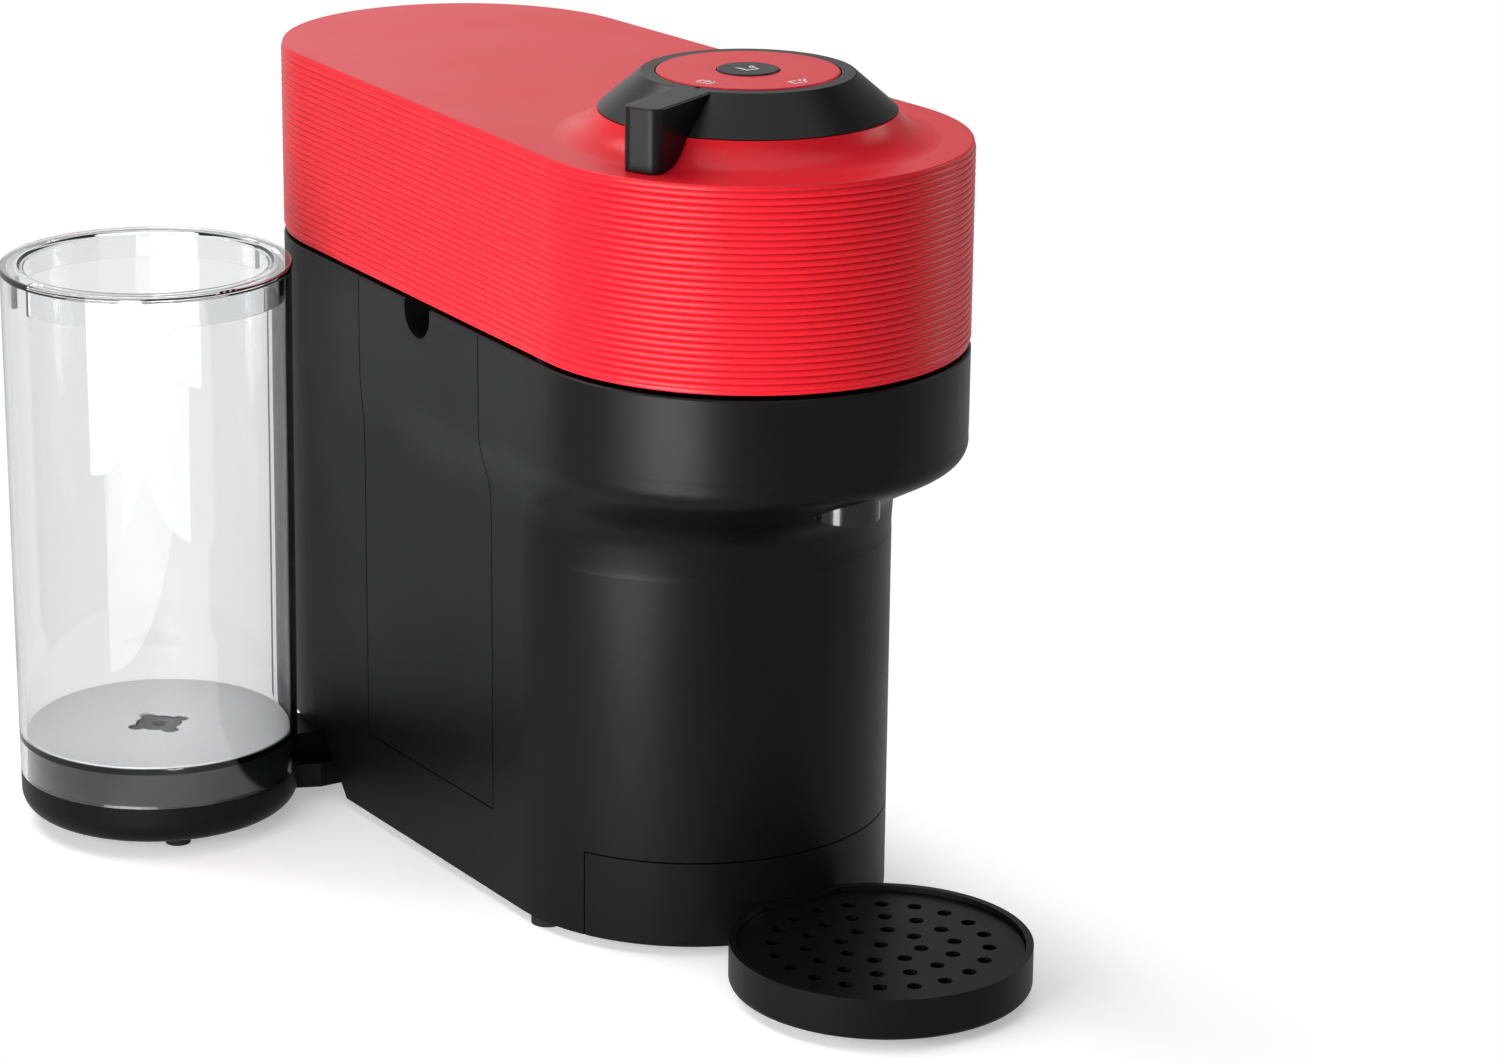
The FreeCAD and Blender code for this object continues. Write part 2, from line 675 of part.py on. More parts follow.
def make_head_shell():
    top = plan_prism(0.0, RIM_LAP, RIM_Z - SHELL_WALL, RIM_Z)
    opening = rise_arc(0.0)[0].x - 2
    cover = fused(ribbed_wall(), top).cut(cylinder(opening, RIM_Z - 20, RIM_Z + 20))
    rise = rise_profile().revolve(V(0, 0, 0), Z_AXIS, 360)
    foot = HEAD_PLATE_Z + HEAD_PLATE_T
    posts = [cylinder(POST_OUT_R, foot, RIM_Z - 1, x, y) for x, y in HEAD_SCREWS]
    holes = [cylinder(SCREW_R - FIT, foot - 1, foot + SCREW_L, x, y) for x, y in HEAD_SCREWS]
    return fused(cover, rise, *posts).cut(holes)


def make_head_plate():
    """Plate that closes the head from below, with the two hinge lugs."""
    z0 = HEAD_PLATE_Z
    plate = plan_prism(0.0, RIB_DEPTH + SHELL_WALL + FIT, z0, z0 + HEAD_PLATE_T)
    plate = plate.cut(cylinder(CLAMP_R + 4, 0, FAR))
    for side in (-1, 1):
        x0, x1 = side * LUG_X - LUG_WIDTH / 2, side * LUG_X + LUG_WIDTH / 2
        knuckle = rod_x(KNUCKLE_R, x0, x1, HINGE_Y, HINGE_Z)
        web = box(x0, x1, HINGE_Y - 3, HINGE_Y + 2.5, HINGE_Z, z0 + 1)
        plate = fused(plate, knuckle, web)
    plate = plate.cut(rod_x(PIN_R + PRESS, -FAR, FAR, HINGE_Y, HINGE_Z))
    for x, y in HEAD_SCREWS:
        plate = plate.cut(cylinder(SCREW_R, 0, FAR, x, y))
    for x, y in MOTOR_SCREWS:
        plate = plate.cut(cylinder(SCREW_R - FIT, 0, FAR, x, y))
    return plate


def make_hinge_pin():
    """Hollow pin; the hot water passes through it into the head."""
    half = LUG_X + LUG_WIDTH / 2 + 2
    pin = rod_x(PIN_R, -half, half, HINGE_Y, HINGE_Z)
    return pin.cut(rod_x(PIN_BORE_R, -FAR, FAR, HINGE_Y, HINGE_Z))


def make_clamp_rotor():
    """Upper clamp that closes the capsule and spins with it, on the motor's hollow shaft."""
    z0 = HOLDER_TOP_Z + FREE_GAP
    z1 = HEAD_PLATE_Z + HEAD_PLATE_T - FREE_GAP
    shaft = cylinder(SHAFT_R, z1 - 1, MOTOR_TOP_Z + 3)
    return fused(cylinder(CLAMP_R, z0, z1), shaft).cut(cylinder(NEEDLE_R, z0 - 1, FAR))


def make_needle():
    """Water needle that pierces the capsule's centre."""
    tip, top, bore = HOLDER_TOP_Z - 7, MOTOR_TOP_Z + 2, 0.4 * NEEDLE_R
    return turned([(bore, tip), (NEEDLE_R, tip + 4), (NEEDLE_R, top), (bore, top)])


def make_head_gasket():
    return tube(DECK_HOLE_R + 6, DECK_HOLE_R + 2, DECK_TOP_Z + LINE_GAP, HEAD_PLATE_Z)


def make_motor_mount():
    """Flange on the head plate with the seat of the upper bearing."""
    z0 = HEAD_PLATE_Z + HEAD_PLATE_T
    flange = cylinder(CLAMP_R + 13, z0, z0 + MOTOR_FLANGE_T)
    seat = cylinder(BEARING_R + 6, z0, MOTOR_Z)
    mount = fused(flange, seat).cut(cylinder(BEARING_R + PRESS, z0 - 1, MOTOR_Z + 1))
    for x, y in MOTOR_SCREWS:
        mount = mount.cut(cylinder(SCREW_R, 0, FAR, x, y))
    return mount


def make_clamp_bearing():
    z0 = HEAD_PLATE_Z + HEAD_PLATE_T + 1
    return tube(BEARING_R, SHAFT_R + RUN_FIT, z0, z0 + BEARING_H)


def make_motor():
    """Stator can of the centrifuge motor round the hollow shaft."""
    can = cylinder(MOTOR_R, MOTOR_Z, MOTOR_TOP_Z)
    levels = [MOTOR_Z + MOTOR_H * i / 4 for i in (1, 2, 3)]
    fins = [tube(MOTOR_R + 1.2, MOTOR_R - 1, z - 1.5, z + 1.5) for z in levels]
    return fused(can, *fins).cut(cylinder(SHAFT_R + 1.5, 0, FAR))


def make_lever():
    """Bent lever along X: flat top, upright rounded tip, and a lower edge that follows the rise."""
    top = DISC_Z - RING_DROP
    low, middle, high = rise_arc(LEVER_LIFT)
    root = DISC_R + 3
    points = [
        high, V(RING_R - 2, 0, high.z), V(root, 0, DISC_Z - DISC_T), V(root, 0, top),
        V(LEVER_R, 0, top), V(LEVER_R, 0, low.z), low,
    ]
    edges = [Part.Arc(low, middle, high).toShape()]
    edges += [Part.makeLine(a, b) for a, b in zip(points, points[1:])]
    section = Part.Face(Part.Wire(edges))
    section.translate(V(0, -LEVER_WIDTH / 2, 0))
    lever = section.extrude(V(0, LEVER_WIDTH, 0))
    upright = [e for e in lever.Edges if e.BoundBox.XMin > LEVER_R - 0.01 and e.BoundBox.ZLength > KNOB_H]
    lever = lever.makeFillet(LEVER_TIP_ROUND, upright)
    brow = [e for e in lever.Edges if e.BoundBox.ZMin > top - 0.01 and e.BoundBox.XMax > root + 1]
    return lever.makeFillet(EDGE_ROUND, brow)


def make_lever_ring():
    """Truncated cone with the bent lever and the sleeve that turns in the shell."""
    bore = DISC_R + FREE_GAP
    top = DISC_Z - RING_DROP
    foot = DISC_Z - DISC_T - 1
    cone = turned([
        (bore, foot), (bore, top), (RING_TOP_R, top), (RING_R, RING_Z), (SLEEVE_R, RING_Z),
        (SLEEVE_R, SLEEVE_Z), (SLEEVE_R - 3, SLEEVE_Z), (SLEEVE_R - 3, foot),
    ])
    brow = [e for e in cone.Edges if e.BoundBox.ZMin > top - 0.01 and e.BoundBox.XMax > bore + 1]
    cone = cone.makeFillet(EDGE_ROUND, brow)
    index = cylinder(INDEX_R, top - INDEX_R, top + 1, bore + 1.2)
    ring = fused(cone, make_lever()).cut(index)
    ring.rotate(V(0, 0, 0), Z_AXIS, LEVER_ANGLE)
    return ring


def make_lock_ring():
    """Ring on the sleeve's foot that holds the lever ring down and carries two locking lugs."""
    z1 = RING_Z - RING_DROP - SHELL_WALL - FREE_GAP
    ring = tube(SLEEVE_R + 4, SLEEVE_R + PRESS, SLEEVE_Z, z1)
    lugs = []
    for angle in (0, 180):
        lug = box(SLEEVE_R + 2, SLEEVE_R + 8, -6, 6, SLEEVE_Z, SLEEVE_Z + 2)
        lug.rotate(V(0, 0, 0), Z_AXIS, angle)
        lugs.append(lug)
    return fused(ring, *lugs)


def make_disc():
    """Red disc in the middle of the lever ring; it stays still while the ring turns."""
    disc = cylinder(DISC_R, DISC_Z - DISC_T, DISC_Z)
    rim = [e for e in disc.Edges if e.BoundBox.ZMin > DISC_Z - 0.01]
    return disc.makeFillet(EDGE_ROUND, rim).cut(cylinder(BUTTON_R + LINE_GAP, 0, FAR))


def make_disc_post():
    """Tube from the motor up to the disc; the button works inside it."""
    z0, z1 = MOTOR_TOP_Z, DISC_Z - DISC_T
    shelf = tube(POST_R - 2, 6, z0 + BOARD_RISE - 2, z0 + BOARD_RISE)
    post = fused(tube(POST_R, POST_R - 3, z0, z1), shelf)
    return post.cut(box(-3, 3, 0, POST_R + 2, z0 + TUBE_RISE - 3, z0 + TUBE_RISE + 3))


def make_button():
    top, foot = DISC_Z + BUTTON_RISE, DISC_Z - DISC_T - 2
    cap = cylinder(BUTTON_R, foot, top)
    rim = [e for e in cap.Edges if e.BoundBox.ZMin > top - 0.01]
    flange = cylinder(BUTTON_R + 2, foot - FREE_GAP, DISC_Z - DISC_T - LINE_GAP)
    stem = cylinder(2.5, DOME_Z + DOME_H, foot)
    return fused(cap.makeFillet(EDGE_ROUND, rim), flange, stem)


def make_button_board():
    z0 = MOTOR_TOP_Z + BOARD_RISE
    return cylinder(POST_R - 3 - FIT, z0, z0 + BOARD_T)


def make_button_dome():
    """Rubber dome that returns the button."""
    top = DOME_Z + DOME_H
    under = top - 1.2
    return turned([(4.5, DOME_Z), (6, DOME_Z), (3.4, top), (0, top), (0, under), (2.6, under)])


def arm_direction():
    reach = V(TANK_X, TANK_Y - SWIVEL_Y, 0)
    return reach.Length, math.degrees(math.atan2(reach.y, reach.x))


def make_swing_arm():
    """Ring on the hub with the bar that carries the dock; its flared foot is let into the dock."""
    length, angle = arm_direction()
    low = HUB_CAP_Z + FREE_GAP
    half = ARM_WIDTH / 2
    wide = half + ARM_FLARE
    bar = box(0, length - DOCK_R + 4, -half, half, low, ARM_TOP_Z)
    side = [(ARM_RING_R + 6, half), (REAR_R - 6, wide), (REAR_R + 3, wide), (length - GLIDE_RING_R, half)]
    outline = side + [(x, -y) for x, y in reversed(side)]
    wire = Part.makePolygon([V(x, y, DOCK_BOTTOM_Z) for x, y in outline + outline[:1]])
    bar = fused(bar, Part.Face(wire).extrude(V(0, 0, ARM_FOOT_H)))
    bar.rotate(V(0, 0, 0), Z_AXIS, angle)
    bar.translate(V(0, SWIVEL_Y, 0))
    ring = cylinder(ARM_RING_R, low, ARM_TOP_Z, 0, SWIVEL_Y)
    arm = fused(ring, bar).cut(cylinder(HUB_R + RUN_FIT, 0, FAR, 0, SWIVEL_Y))
    arm = arm.cut(cylinder(DOCK_R - 4, 0, FAR, TANK_X, TANK_Y))
    return arm.cut(cylinder(DOCK_R + 1.2, DOCK_Z - 2, FAR, TANK_X, TANK_Y))


def make_dock():
    """Round base the tank stands on."""
    r0 = DOCK_R - DOCK_ROUND
    c = V(TANK_X + r0, TANK_Y, DOCK_BOTTOM_Z + DOCK_ROUND)
    start, end = c + V(0, 0, -DOCK_ROUND), c + V(DOCK_ROUND, 0, 0)
    spigot = DOCK_R - TANK_WALL - FREE_GAP
    top, well = TANK_FLOOR_Z - 0.05, WELL_R + FREE_GAP
    points = [
        (DOCK_R, DOCK_Z), (spigot, DOCK_Z), (spigot, top), (well, top), (well, WELL_Z - 1),
        (PORT_R, WELL_Z - 1), (PORT_R, WELL_Z - 9), (0, WELL_Z - 9), (0, DOCK_BOTTOM_Z),
    ]
    line = [end] + [V(TANK_X + r, TANK_Y, z) for r, z in points] + [start]
    edges = [quarter(start, c, end)] + [Part.makeLine(a, b) for a, b in zip(line, line[1:])]
    dock = Part.Face(Part.Wire(edges)).revolve(V(TANK_X, TANK_Y, 0), Z_AXIS, 360)
    return dock.cut(make_swing_arm()).cut(make_dock_glides(FIT))


def make_dock_glides(grow=0.0):
    """Three pads pressed into the dock's underside, on which it glides over the worktop."""
    pads = []
    for angle in (-107.0, 13.0, 133.0):
        x = TANK_X + GLIDE_RING_R * math.cos(math.radians(angle))
        y = TANK_Y + GLIDE_RING_R * math.sin(math.radians(angle))
        pads.append(cylinder(GLIDE_R + grow, GLIDE_Z, DOCK_BOTTOM_Z + 1.5, x, y))
    return Part.makeCompound(pads)


def make_dock_seal():
    return tube(PORT_R - 0.05, VALVE_R - 2, WELL_Z - 9, WELL_Z - 5, TANK_X, TANK_Y)


def make_tank():
    """Clear tank with a stepped floor; its skirt goes over the dock's spigot."""
    low_in, top_in = DOCK_R - TANK_WALL, TANK_TOP_R - TANK_WALL
    z0, floor, well = DOCK_Z + LINE_GAP, TANK_FLOOR_Z + TANK_WALL, WELL_R - TANK_WALL
    seat = SEAT_R + 0.05
    return turned([
        (low_in, z0), (DOCK_R, z0), (TANK_TOP_R, TANK_TOP_Z), (top_in, TANK_TOP_Z), (low_in, floor),
        (well, floor), (well, WELL_Z + TANK_WALL), (seat, WELL_Z + TANK_WALL), (seat, WELL_Z),
        (WELL_R, WELL_Z), (WELL_R, TANK_FLOOR_Z), (low_in, TANK_FLOOR_Z),
    ], TANK_X, TANK_Y)


def make_lid():
    """Clear lid: a thin dished plate with a rounded edge, and a plug rim with two pouring gaps."""
    plug = TANK_TOP_R - TANK_WALL - FREE_GAP
    z0 = TANK_TOP_Z + LINE_GAP
    top, foot = z0 + LID_T, z0 - PLUG_H
    slope = LID_DISH_R + 1.6
    lid = turned([
        (0, z0 - LID_DISH), (LID_DISH_R - 0.4, z0 - LID_DISH), (slope - 0.4, z0), (plug - PLUG_T, z0),
        (plug - PLUG_T, foot), (plug, foot), (plug, z0), (LID_R, z0), (LID_R, top), (slope, top),
        (LID_DISH_R, top - LID_DISH), (0, top - LID_DISH),
    ], TANK_X, TANK_Y)
    rim = [e for e in lid.Edges if e.BoundBox.ZMin > top - 0.01 and e.BoundBox.XLength > 2 * slope + 1]
    gap = box(-FAR, FAR, TANK_Y - PLUG_GAP / 2, TANK_Y + PLUG_GAP / 2, foot - 1, z0)
    gap = gap.cut(cylinder(slope, foot - 2, top, TANK_X, TANK_Y))
    return lid.makeFillet(LID_ROUND, rim).cut(gap)


def make_valve_seat():
    """Black seat in the tank's floor with a cross-shaped guard, level with the floor."""
    floor = TANK_FLOOR_Z + TANK_WALL
    cage = floor - GUARD_T
    low, step, brim = WELL_Z - 4, WELL_Z + TANK_WALL + 0.5, WELL_Z + TANK_WALL + 2
    seat = turned([
        (VALVE_R - 2, low), (SEAT_R, low), (SEAT_R, step), (GUARD_R, step),
        (GUARD_R, brim), (VALVE_R, brim), (VALVE_R, WELL_Z), (VALVE_R - 2, WELL_Z),
    ], TANK_X, TANK_Y)
    guard = [tube(GUARD_HUB_R, SEAT_R - 6, cage, floor, TANK_X, TANK_Y)]
    lobe = GUARD_R - 2.6
    for angle in (0, 90, 180, 270):
        arm = [box(GUARD_HUB_R - 1, lobe, -2.0, 2.0, cage, floor), cylinder(2.2, step + 0.5, floor, lobe)]
        arm = Part.makeCompound(arm)
        arm.rotate(V(0, 0, 0), Z_AXIS, angle)
        arm.translate(V(TANK_X, TANK_Y, 0))
        guard += arm.Solids
    return fused(seat, *guard)


def make_valve_poppet():
    """Poppet that shuts the floor while the tank is off the dock."""
    head = cylinder(VALVE_R - 0.6, WELL_Z + FIT, WELL_Z + 2.6, TANK_X, TANK_Y)
    return fused(head, cylinder(1.6, WELL_Z - 6.5, WELL_Z + 2, TANK_X, TANK_Y))


def make_valve_spring():
    """Silicone sleeve that pushes the poppet shut."""
    return tube(3.4, 2.4, WELL_Z + 2.6, TANK_FLOOR_Z + TANK_WALL - GUARD_T, TANK_X, TANK_Y)


def tray_dock_cut(gap):
    return cylinder(COLUMN_R + gap, -5, FAR, 0, COLUMN_Y)


def make_tray():
    """Round drip bowl with a tongue that slides into the plinth."""
    bowl = cylinder(TRAY_R, BASE_Z, TRAY_TOP_Z, 0, TRAY_Y)
    low = [e for e in bowl.Edges if e.BoundBox.ZMax < BASE_Z + 0.01]
    high = [e for e in bowl.Edges if e.BoundBox.ZMin > TRAY_TOP_Z - 0.01]
    bowl = bowl.makeFillet(2.0, low).cut(tray_dock_cut(FREE_GAP))
    bowl = fused(bowl)
    ledge = TRAY_TOP_Z - GRID_DROP - GRID_T
    inner = TRAY_R - TRAY_WALL
    hollow = cylinder(inner - 2, BASE_Z + 2, ledge, 0, TRAY_Y).cut(tray_dock_cut(FREE_GAP + TRAY_WALL + 2))
    seat = cylinder(inner, ledge, FAR, 0, TRAY_Y).cut(tray_dock_cut(FREE_GAP + TRAY_WALL))
    half = TONGUE_WIDTH / 2
    y0 = COLUMN_Y - COLUMN_R
    tongue = box(-half, half, y0 - 4, y0 + 14, TONGUE_Z, TONGUE_Z + TONGUE_T).cut(hollow)
    return fused(bowl.cut([hollow, seat]), tongue)


def make_grid():
    """Perforated grid: rings of round holes about a centre hole."""
    ledge = TRAY_TOP_Z - GRID_DROP - GRID_T
    plate = cylinder(TRAY_R - TRAY_WALL - FREE_GAP, ledge, ledge + GRID_T, 0, TRAY_Y)
    plate = plate.cut(tray_dock_cut(2 * FREE_GAP + TRAY_WALL))
    holes = [cylinder(GRID_HOLE_R, 0, FAR, 0, TRAY_Y)]
    for ring in range(3):
        radius, count = 2 + GRID_PITCH * (ring + 1), 8 + 6 * ring
        for i in range(count):
            angle = 2 * math.pi * i / count
            x, y = radius * math.cos(angle), TRAY_Y + radius * math.sin(angle)
            holes.append(cylinder(GRID_HOLE_R, 0, FAR, x, y))
    return plate.cut(holes)


def make_tray_pads():
    pads = []
    for angle in (-150, -90, -30):
        a = math.radians(angle)
        reach = TRAY_R - 15
        pads.append(cylinder(PEG_R, 0, BASE_Z, reach * math.cos(a), TRAY_Y + reach * math.sin(a)))
    return Part.makeCompound(pads)


def pump_ends():
    """Y of the pump's steps: inlet nipple, inlet nose, coil, coil's back, outlet nose, outlet nipple."""
    nose = PUMP_Y - INLET_L
    back = PUMP_Y + COIL_L
    return nose - NIPPLE_L, nose, PUMP_Y, back, back + OUTLET_L, back + OUTLET_L + NIPPLE_L - 4


def make_pump():
    """Vibration pump: coil block between an inlet and an outlet nose."""
    x, z = PUMP_X, PUMP_Z
    y0, y1, y2, y3, y4, y5 = pump_ends()
    coil = box(x - COIL_WIDTH / 2, x + COIL_WIDTH / 2, y2, y3, z - COIL_H / 2, z + COIL_H / 2)
    noses = [rod_y(INLET_R, y1, y2 + 1, x, z), rod_y(OUTLET_R, y3 - 1, y4, x, z)]
    return fused(coil, *noses, rod_y(NIPPLE_R, y0, y1 + 1, x, z), rod_y(NIPPLE_R, y4 - 1, y5, x, z))


def make_pump_mounts():
    """Two rubber saddles between the base plate and the pump's noses."""
    floor = BASE_Z + FLOOR_T
    y0, y1, y2, y3, y4, y5 = pump_ends()
    saddles = []
    for middle, nose_r in (((y1 + y2) / 2, INLET_R), ((y3 + y4) / 2, OUTLET_R)):
        half = nose_r + SADDLE_RIM
        front, back = middle - SADDLE_L / 2, middle + SADDLE_L / 2
        block = box(PUMP_X - half, PUMP_X + half, front, back, floor, PUMP_Z + half)
        saddles.append(block.cut(rod_y(nose_r + PRESS, y0, y5, PUMP_X, PUMP_Z)))
    return Part.makeCompound(saddles)


def make_flow_meter():
    floor = BASE_Z + FLOOR_T
    body = cylinder(METER_R, floor, floor + METER_H, PUMP_X, METER_Y)
    outlet = cylinder(NIPPLE_R, floor + METER_H - 1, floor + METER_H + 8, PUMP_X, METER_Y)
    side = PUMP_X - METER_R
    inlet = rod_x(NIPPLE_R, side - 9, side + 3, METER_Y, floor + METER_H / 2)
    return fused(body, outlet, inlet)


def make_heater_bracket():
    """Sheet foot under the heater with two end cheeks."""
    floor = BASE_Z + FLOOR_T
    half = HEATER_WIDTH / 2 + 5
    x0, x1 = HEATER_X - half, HEATER_X + half
    y0, y1 = HEATER_Y - BRACKET_T, HEATER_Y + HEATER_L + BRACKET_T
    foot = box(x0, x1, y0, y1, floor, floor + BRACKET_T)
    cheeks = [box(x0, x1, y, y + BRACKET_T, floor, floor + BRACKET_H) for y in (y0, y1 - BRACKET_T)]
    return fused(foot, *cheeks)


def heater_top():
    return BASE_Z + FLOOR_T + BRACKET_T + HEATER_H


def nipple_places():
    """Y of the heater's hot outlet and its inlet."""
    return HEATER_Y + 10.5, HEATER_Y + HEATER_L - 10.5


def make_heater():
    """Cast thermoblock with its ribs and two water nipples."""
    top = heater_top()
    floor = top - HEATER_H
    half = HEATER_WIDTH / 2
    block = box(HEATER_X - half, HEATER_X + half, HEATER_Y, HEATER_Y + HEATER_L, floor, top)
    wide = half + HEATER_RIB
    step = HEATER_L / 5
    ribs = []
    for i in range(5):
        y = HEATER_Y + (i + 0.5) * step
        ribs.append(box(HEATER_X - wide, HEATER_X + wide, y - 2, y + 2, floor + 8, top - 8))
    nipples = [cylinder(NIPPLE_R, top - 1, top + 8, HEATER_X, y) for y in nipple_places()]
    return fused(block, *nipples, *ribs)


def make_board_rail():
    floor = RECESS_Z + FLOOR_T
    half = BOARD_WIDTH / 2
    rail = box(-half - 2, half + 2, BOARD_Y - 6, BOARD_Y + BOARD_T + 6, floor, floor + RAIL_H)
    front, back = BOARD_Y - FIT / 2, BOARD_Y + BOARD_T + FIT / 2
    slot = box(-half - 1, half + 1, front, back, floor + RAIL_H / 3, floor + FAR)
    return rail.cut(slot)


def make_control_board():
    floor = RECESS_Z + FLOOR_T + RAIL_H / 3
    half = BOARD_WIDTH / 2
    face = BOARD_Y + 0.5
    board = box(-half, half, BOARD_Y, BOARD_Y + BOARD_T, floor, floor + BOARD_H)
    relay = box(6 - half, half - 36, BOARD_Y - 9, face, floor + BOARD_H / 2, floor + BOARD_H / 2 + 22)
    chip = box(4, half - 8, BOARD_Y - 4, face, floor + BOARD_H / 3, floor + BOARD_H / 3 + 20)
    capacitor = rod_y(6, BOARD_Y - 14, face, half - 16, floor + BOARD_H - 14)
    return fused(board, relay, chip, capacitor)


def make_cord_gland():
    """Bush in the rear wall through which the mains lead enters."""
    wide = GLAND_R + GLAND_FLANGE
    inner = REAR_Y - WALL
    bush = rod_y(GLAND_R - FIT, inner - 4, REAR_Y + 0.5, 0, GLAND_Z)
    flange = rod_y(wide, REAR_Y + FIT, REAR_Y + 2.2, 0, GLAND_Z)
    nut = rod_y(wide, inner - 5, inner - 0.9, 0, GLAND_Z)
    return fused(bush, flange, nut).cut(rod_y(LEAD_R, inner - 20, FAR, 0, GLAND_Z))


def make_suction_tube():
    """From the swivel hub to the flow meter, past the pump on its inner side."""
    low = BASE_Z + FLOOR_T + METER_H / 2
    high = RECESS_Z + 18
    x = PUMP_X - METER_R - 9
    side = x - 8
    points = [V(0, SWIVEL_Y, RECESS_Z + 1), V(0, SWIVEL_Y, high), V(0, SWIVEL_Y - 28, high)]
    points += [V(x, SWIVEL_Y - 40, high), V(side, SWIVEL_Y - 50, low + 4), V(side, METER_Y + 12, low)]
    return pipe(points + [V(side, METER_Y, low), V(x, METER_Y, low)], TUBE_R, 4.0)


def make_pump_tube():
    """From the flow meter up to the pump's inlet."""
    start = BASE_Z + FLOOR_T + METER_H + 8
    points = [V(PUMP_X, METER_Y, start), V(PUMP_X, METER_Y, PUMP_Z), V(PUMP_X, pump_ends()[0], PUMP_Z)]
    return pipe(points, TUBE_R, 8.0)


def make_pressure_tube():
    """From the pump's outlet over to the heater."""
    top = heater_top() + 8
    loop = top + PRESSURE_RISE
    start = pump_ends()[-1]
    inlet = nipple_places()[1]
    points = [V(PUMP_X, start, PUMP_Z), V(PUMP_X, start + 10, PUMP_Z), V(PUMP_X, start + 10, loop)]
    return pipe(points + [V(HEATER_X, inlet, loop), V(HEATER_X, inlet, top)], TUBE_R, 7.0)


def make_hot_tube():
    """From the heater to the knuckle of the deck, where the water enters the hollow hinge pin."""
    outlet = nipple_places()[0]
    start = heater_top() + 8
    loop = start + PRESSURE_RISE
    y = HINGE_Y - 8
    points = [V(HEATER_X, outlet, start), V(HEATER_X, outlet, loop + 9)]
    points += [V(HEATER_X + 14, HINGE_Y - 26, loop + 19), V(0, y, HINGE_Z - 18), V(0, y, HINGE_Z - 3)]
    return pipe(points, HOT_TUBE_R, 4.0)


def make_head_tube():
    """From the head's hinge lug to the needle on top of the motor."""
    y = HINGE_Y - 1
    z1 = MOTOR_TOP_Z + TUBE_RISE
    points = [V(LUG_X, y, HEAD_PLATE_Z + HEAD_PLATE_T), V(LUG_X, y, z1 - 20), V(LUG_X, y - 110, z1)]
    points += [V(0, POST_R + 38, z1), V(0, 0, z1), V(0, 0, MOTOR_TOP_Z + 3 + FREE_GAP)]
    return pipe(points, HEAD_TUBE_R, 1.7)


# Places of the screws, worked out from the walls that carry their posts
BASE_SCREWS = screw_pairs(1.0, WALL + BASE_POST_R - POST_BITE, (9.0, PLAN_LENGTH - 27.0))
DECK_SCREWS = screw_pairs(0.0, WALL + LEDGE_W + POST_OUT_R - 1, (20.0, PLAN_LENGTH - 12.0))
HEAD_SCREWS = screw_pairs(0.0, HEAD_POST_INSET, (60.0, PLAN_LENGTH + 8.0))
HUB_SCREWS = [(5 - HUB_R, SWIVEL_Y), (HUB_R - 5, SWIVEL_Y)]
MOTOR_SCREWS = [(-CLAMP_R - 8, 0.0), (CLAMP_R + 8, 0.0), (0.0, CLAMP_R + 8)]

os.makedirs("parts", exist_ok=True)

left_panel = make_panel()

NODES = {
    "housing": make_housing(),
    "panel_left": left_panel,
    "panel_right": mirrored(left_panel),
    "front_plinth": make_plinth(),
    "base_plate": make_base_plate(),
    "hub_cap": make_hub_cap(),
    "feet": make_feet(),
    "deck": make_deck(),
    "code_reader": make_code_reader(),
    "collector": make_collector(),
    "spout": make_spout(),
    "holder_bearing": make_holder_bearing(),
    "capsule_holder": make_capsule_holder(),
    "head_shell": make_head_shell(),
    "head_plate": make_head_plate(),
    "hinge_pin": make_hinge_pin(),
    "clamp_rotor": make_clamp_rotor(),
    "needle": make_needle(),
    "head_gasket": make_head_gasket(),
    "motor_mount": make_motor_mount(),
    "clamp_bearing": make_clamp_bearing(),
    "motor": make_motor(),
    "lever_ring": make_lever_ring(),
    "lock_ring": make_lock_ring(),
    "disc": make_disc(),
    "disc_post": make_disc_post(),
    "button": make_button(),
    "button_board": make_button_board(),
    "button_dome": make_button_dome(),
    "swing_arm": make_swing_arm(),
    "dock": make_dock(),
    "dock_seal": make_dock_seal(),
    "dock_glides": make_dock_glides(),
    "tank": make_tank(),
    "tank_lid": make_lid(),
    "valve_seat": make_valve_seat(),
    "valve_poppet": make_valve_poppet(),
    "valve_spring": make_valve_spring(),
    "tray": make_tray(),
    "tray_grid": make_grid(),
    "tray_pads": make_tray_pads(),
    "pump": make_pump(),
    "pump_mounts": make_pump_mounts(),
    "flow_meter": make_flow_meter(),
    "heater": make_heater(),
    "heater_bracket": make_heater_bracket(),
    "board_rail": make_board_rail(),
    "control_board": make_control_board(),
    "cord_gland": make_cord_gland(),
    "suction_tube": make_suction_tube(),
    "pump_tube": make_pump_tube(),
    "pressure_tube": make_pressure_tube(),
    "hot_tube": make_hot_tube(),
    "head_tube": make_head_tube(),
    "hub_screws": make_screws(HUB_SCREWS, BASE_Z, SCREW_L),
    "base_screws": make_screws(BASE_SCREWS, BASE_Z - SCREW_HEAD_H, BASE_SCREW_L),
    "deck_screws": make_screws_down(DECK_SCREWS, DECK_TOP_Z, SCREW_L),
    "head_screws": make_screws(HEAD_SCREWS, HEAD_PLATE_Z - SCREW_HEAD_H, SCREW_L),
    "motor_screws": make_screws_down(MOTOR_SCREWS, MOTOR_FLANGE_Z, MOTOR_SCREW_L),
}

for name, shape in NODES.items():
    shape.exportStep("parts/" + name + ".step")
    print(name, len(shape.Solids), shape.isValid(), round(shape.Volume / 1000.0, 2))
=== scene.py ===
# %% [markdown]
# # A pod coffee machine, dressed in Blender
# The solids of the machine come from CAD and are loaded as a fixed frame. This lesson gives every solid
# its real finish, adds the small printed and moulded pieces, and sets the floor, the light and the camera.

# %% Load the frame
import math

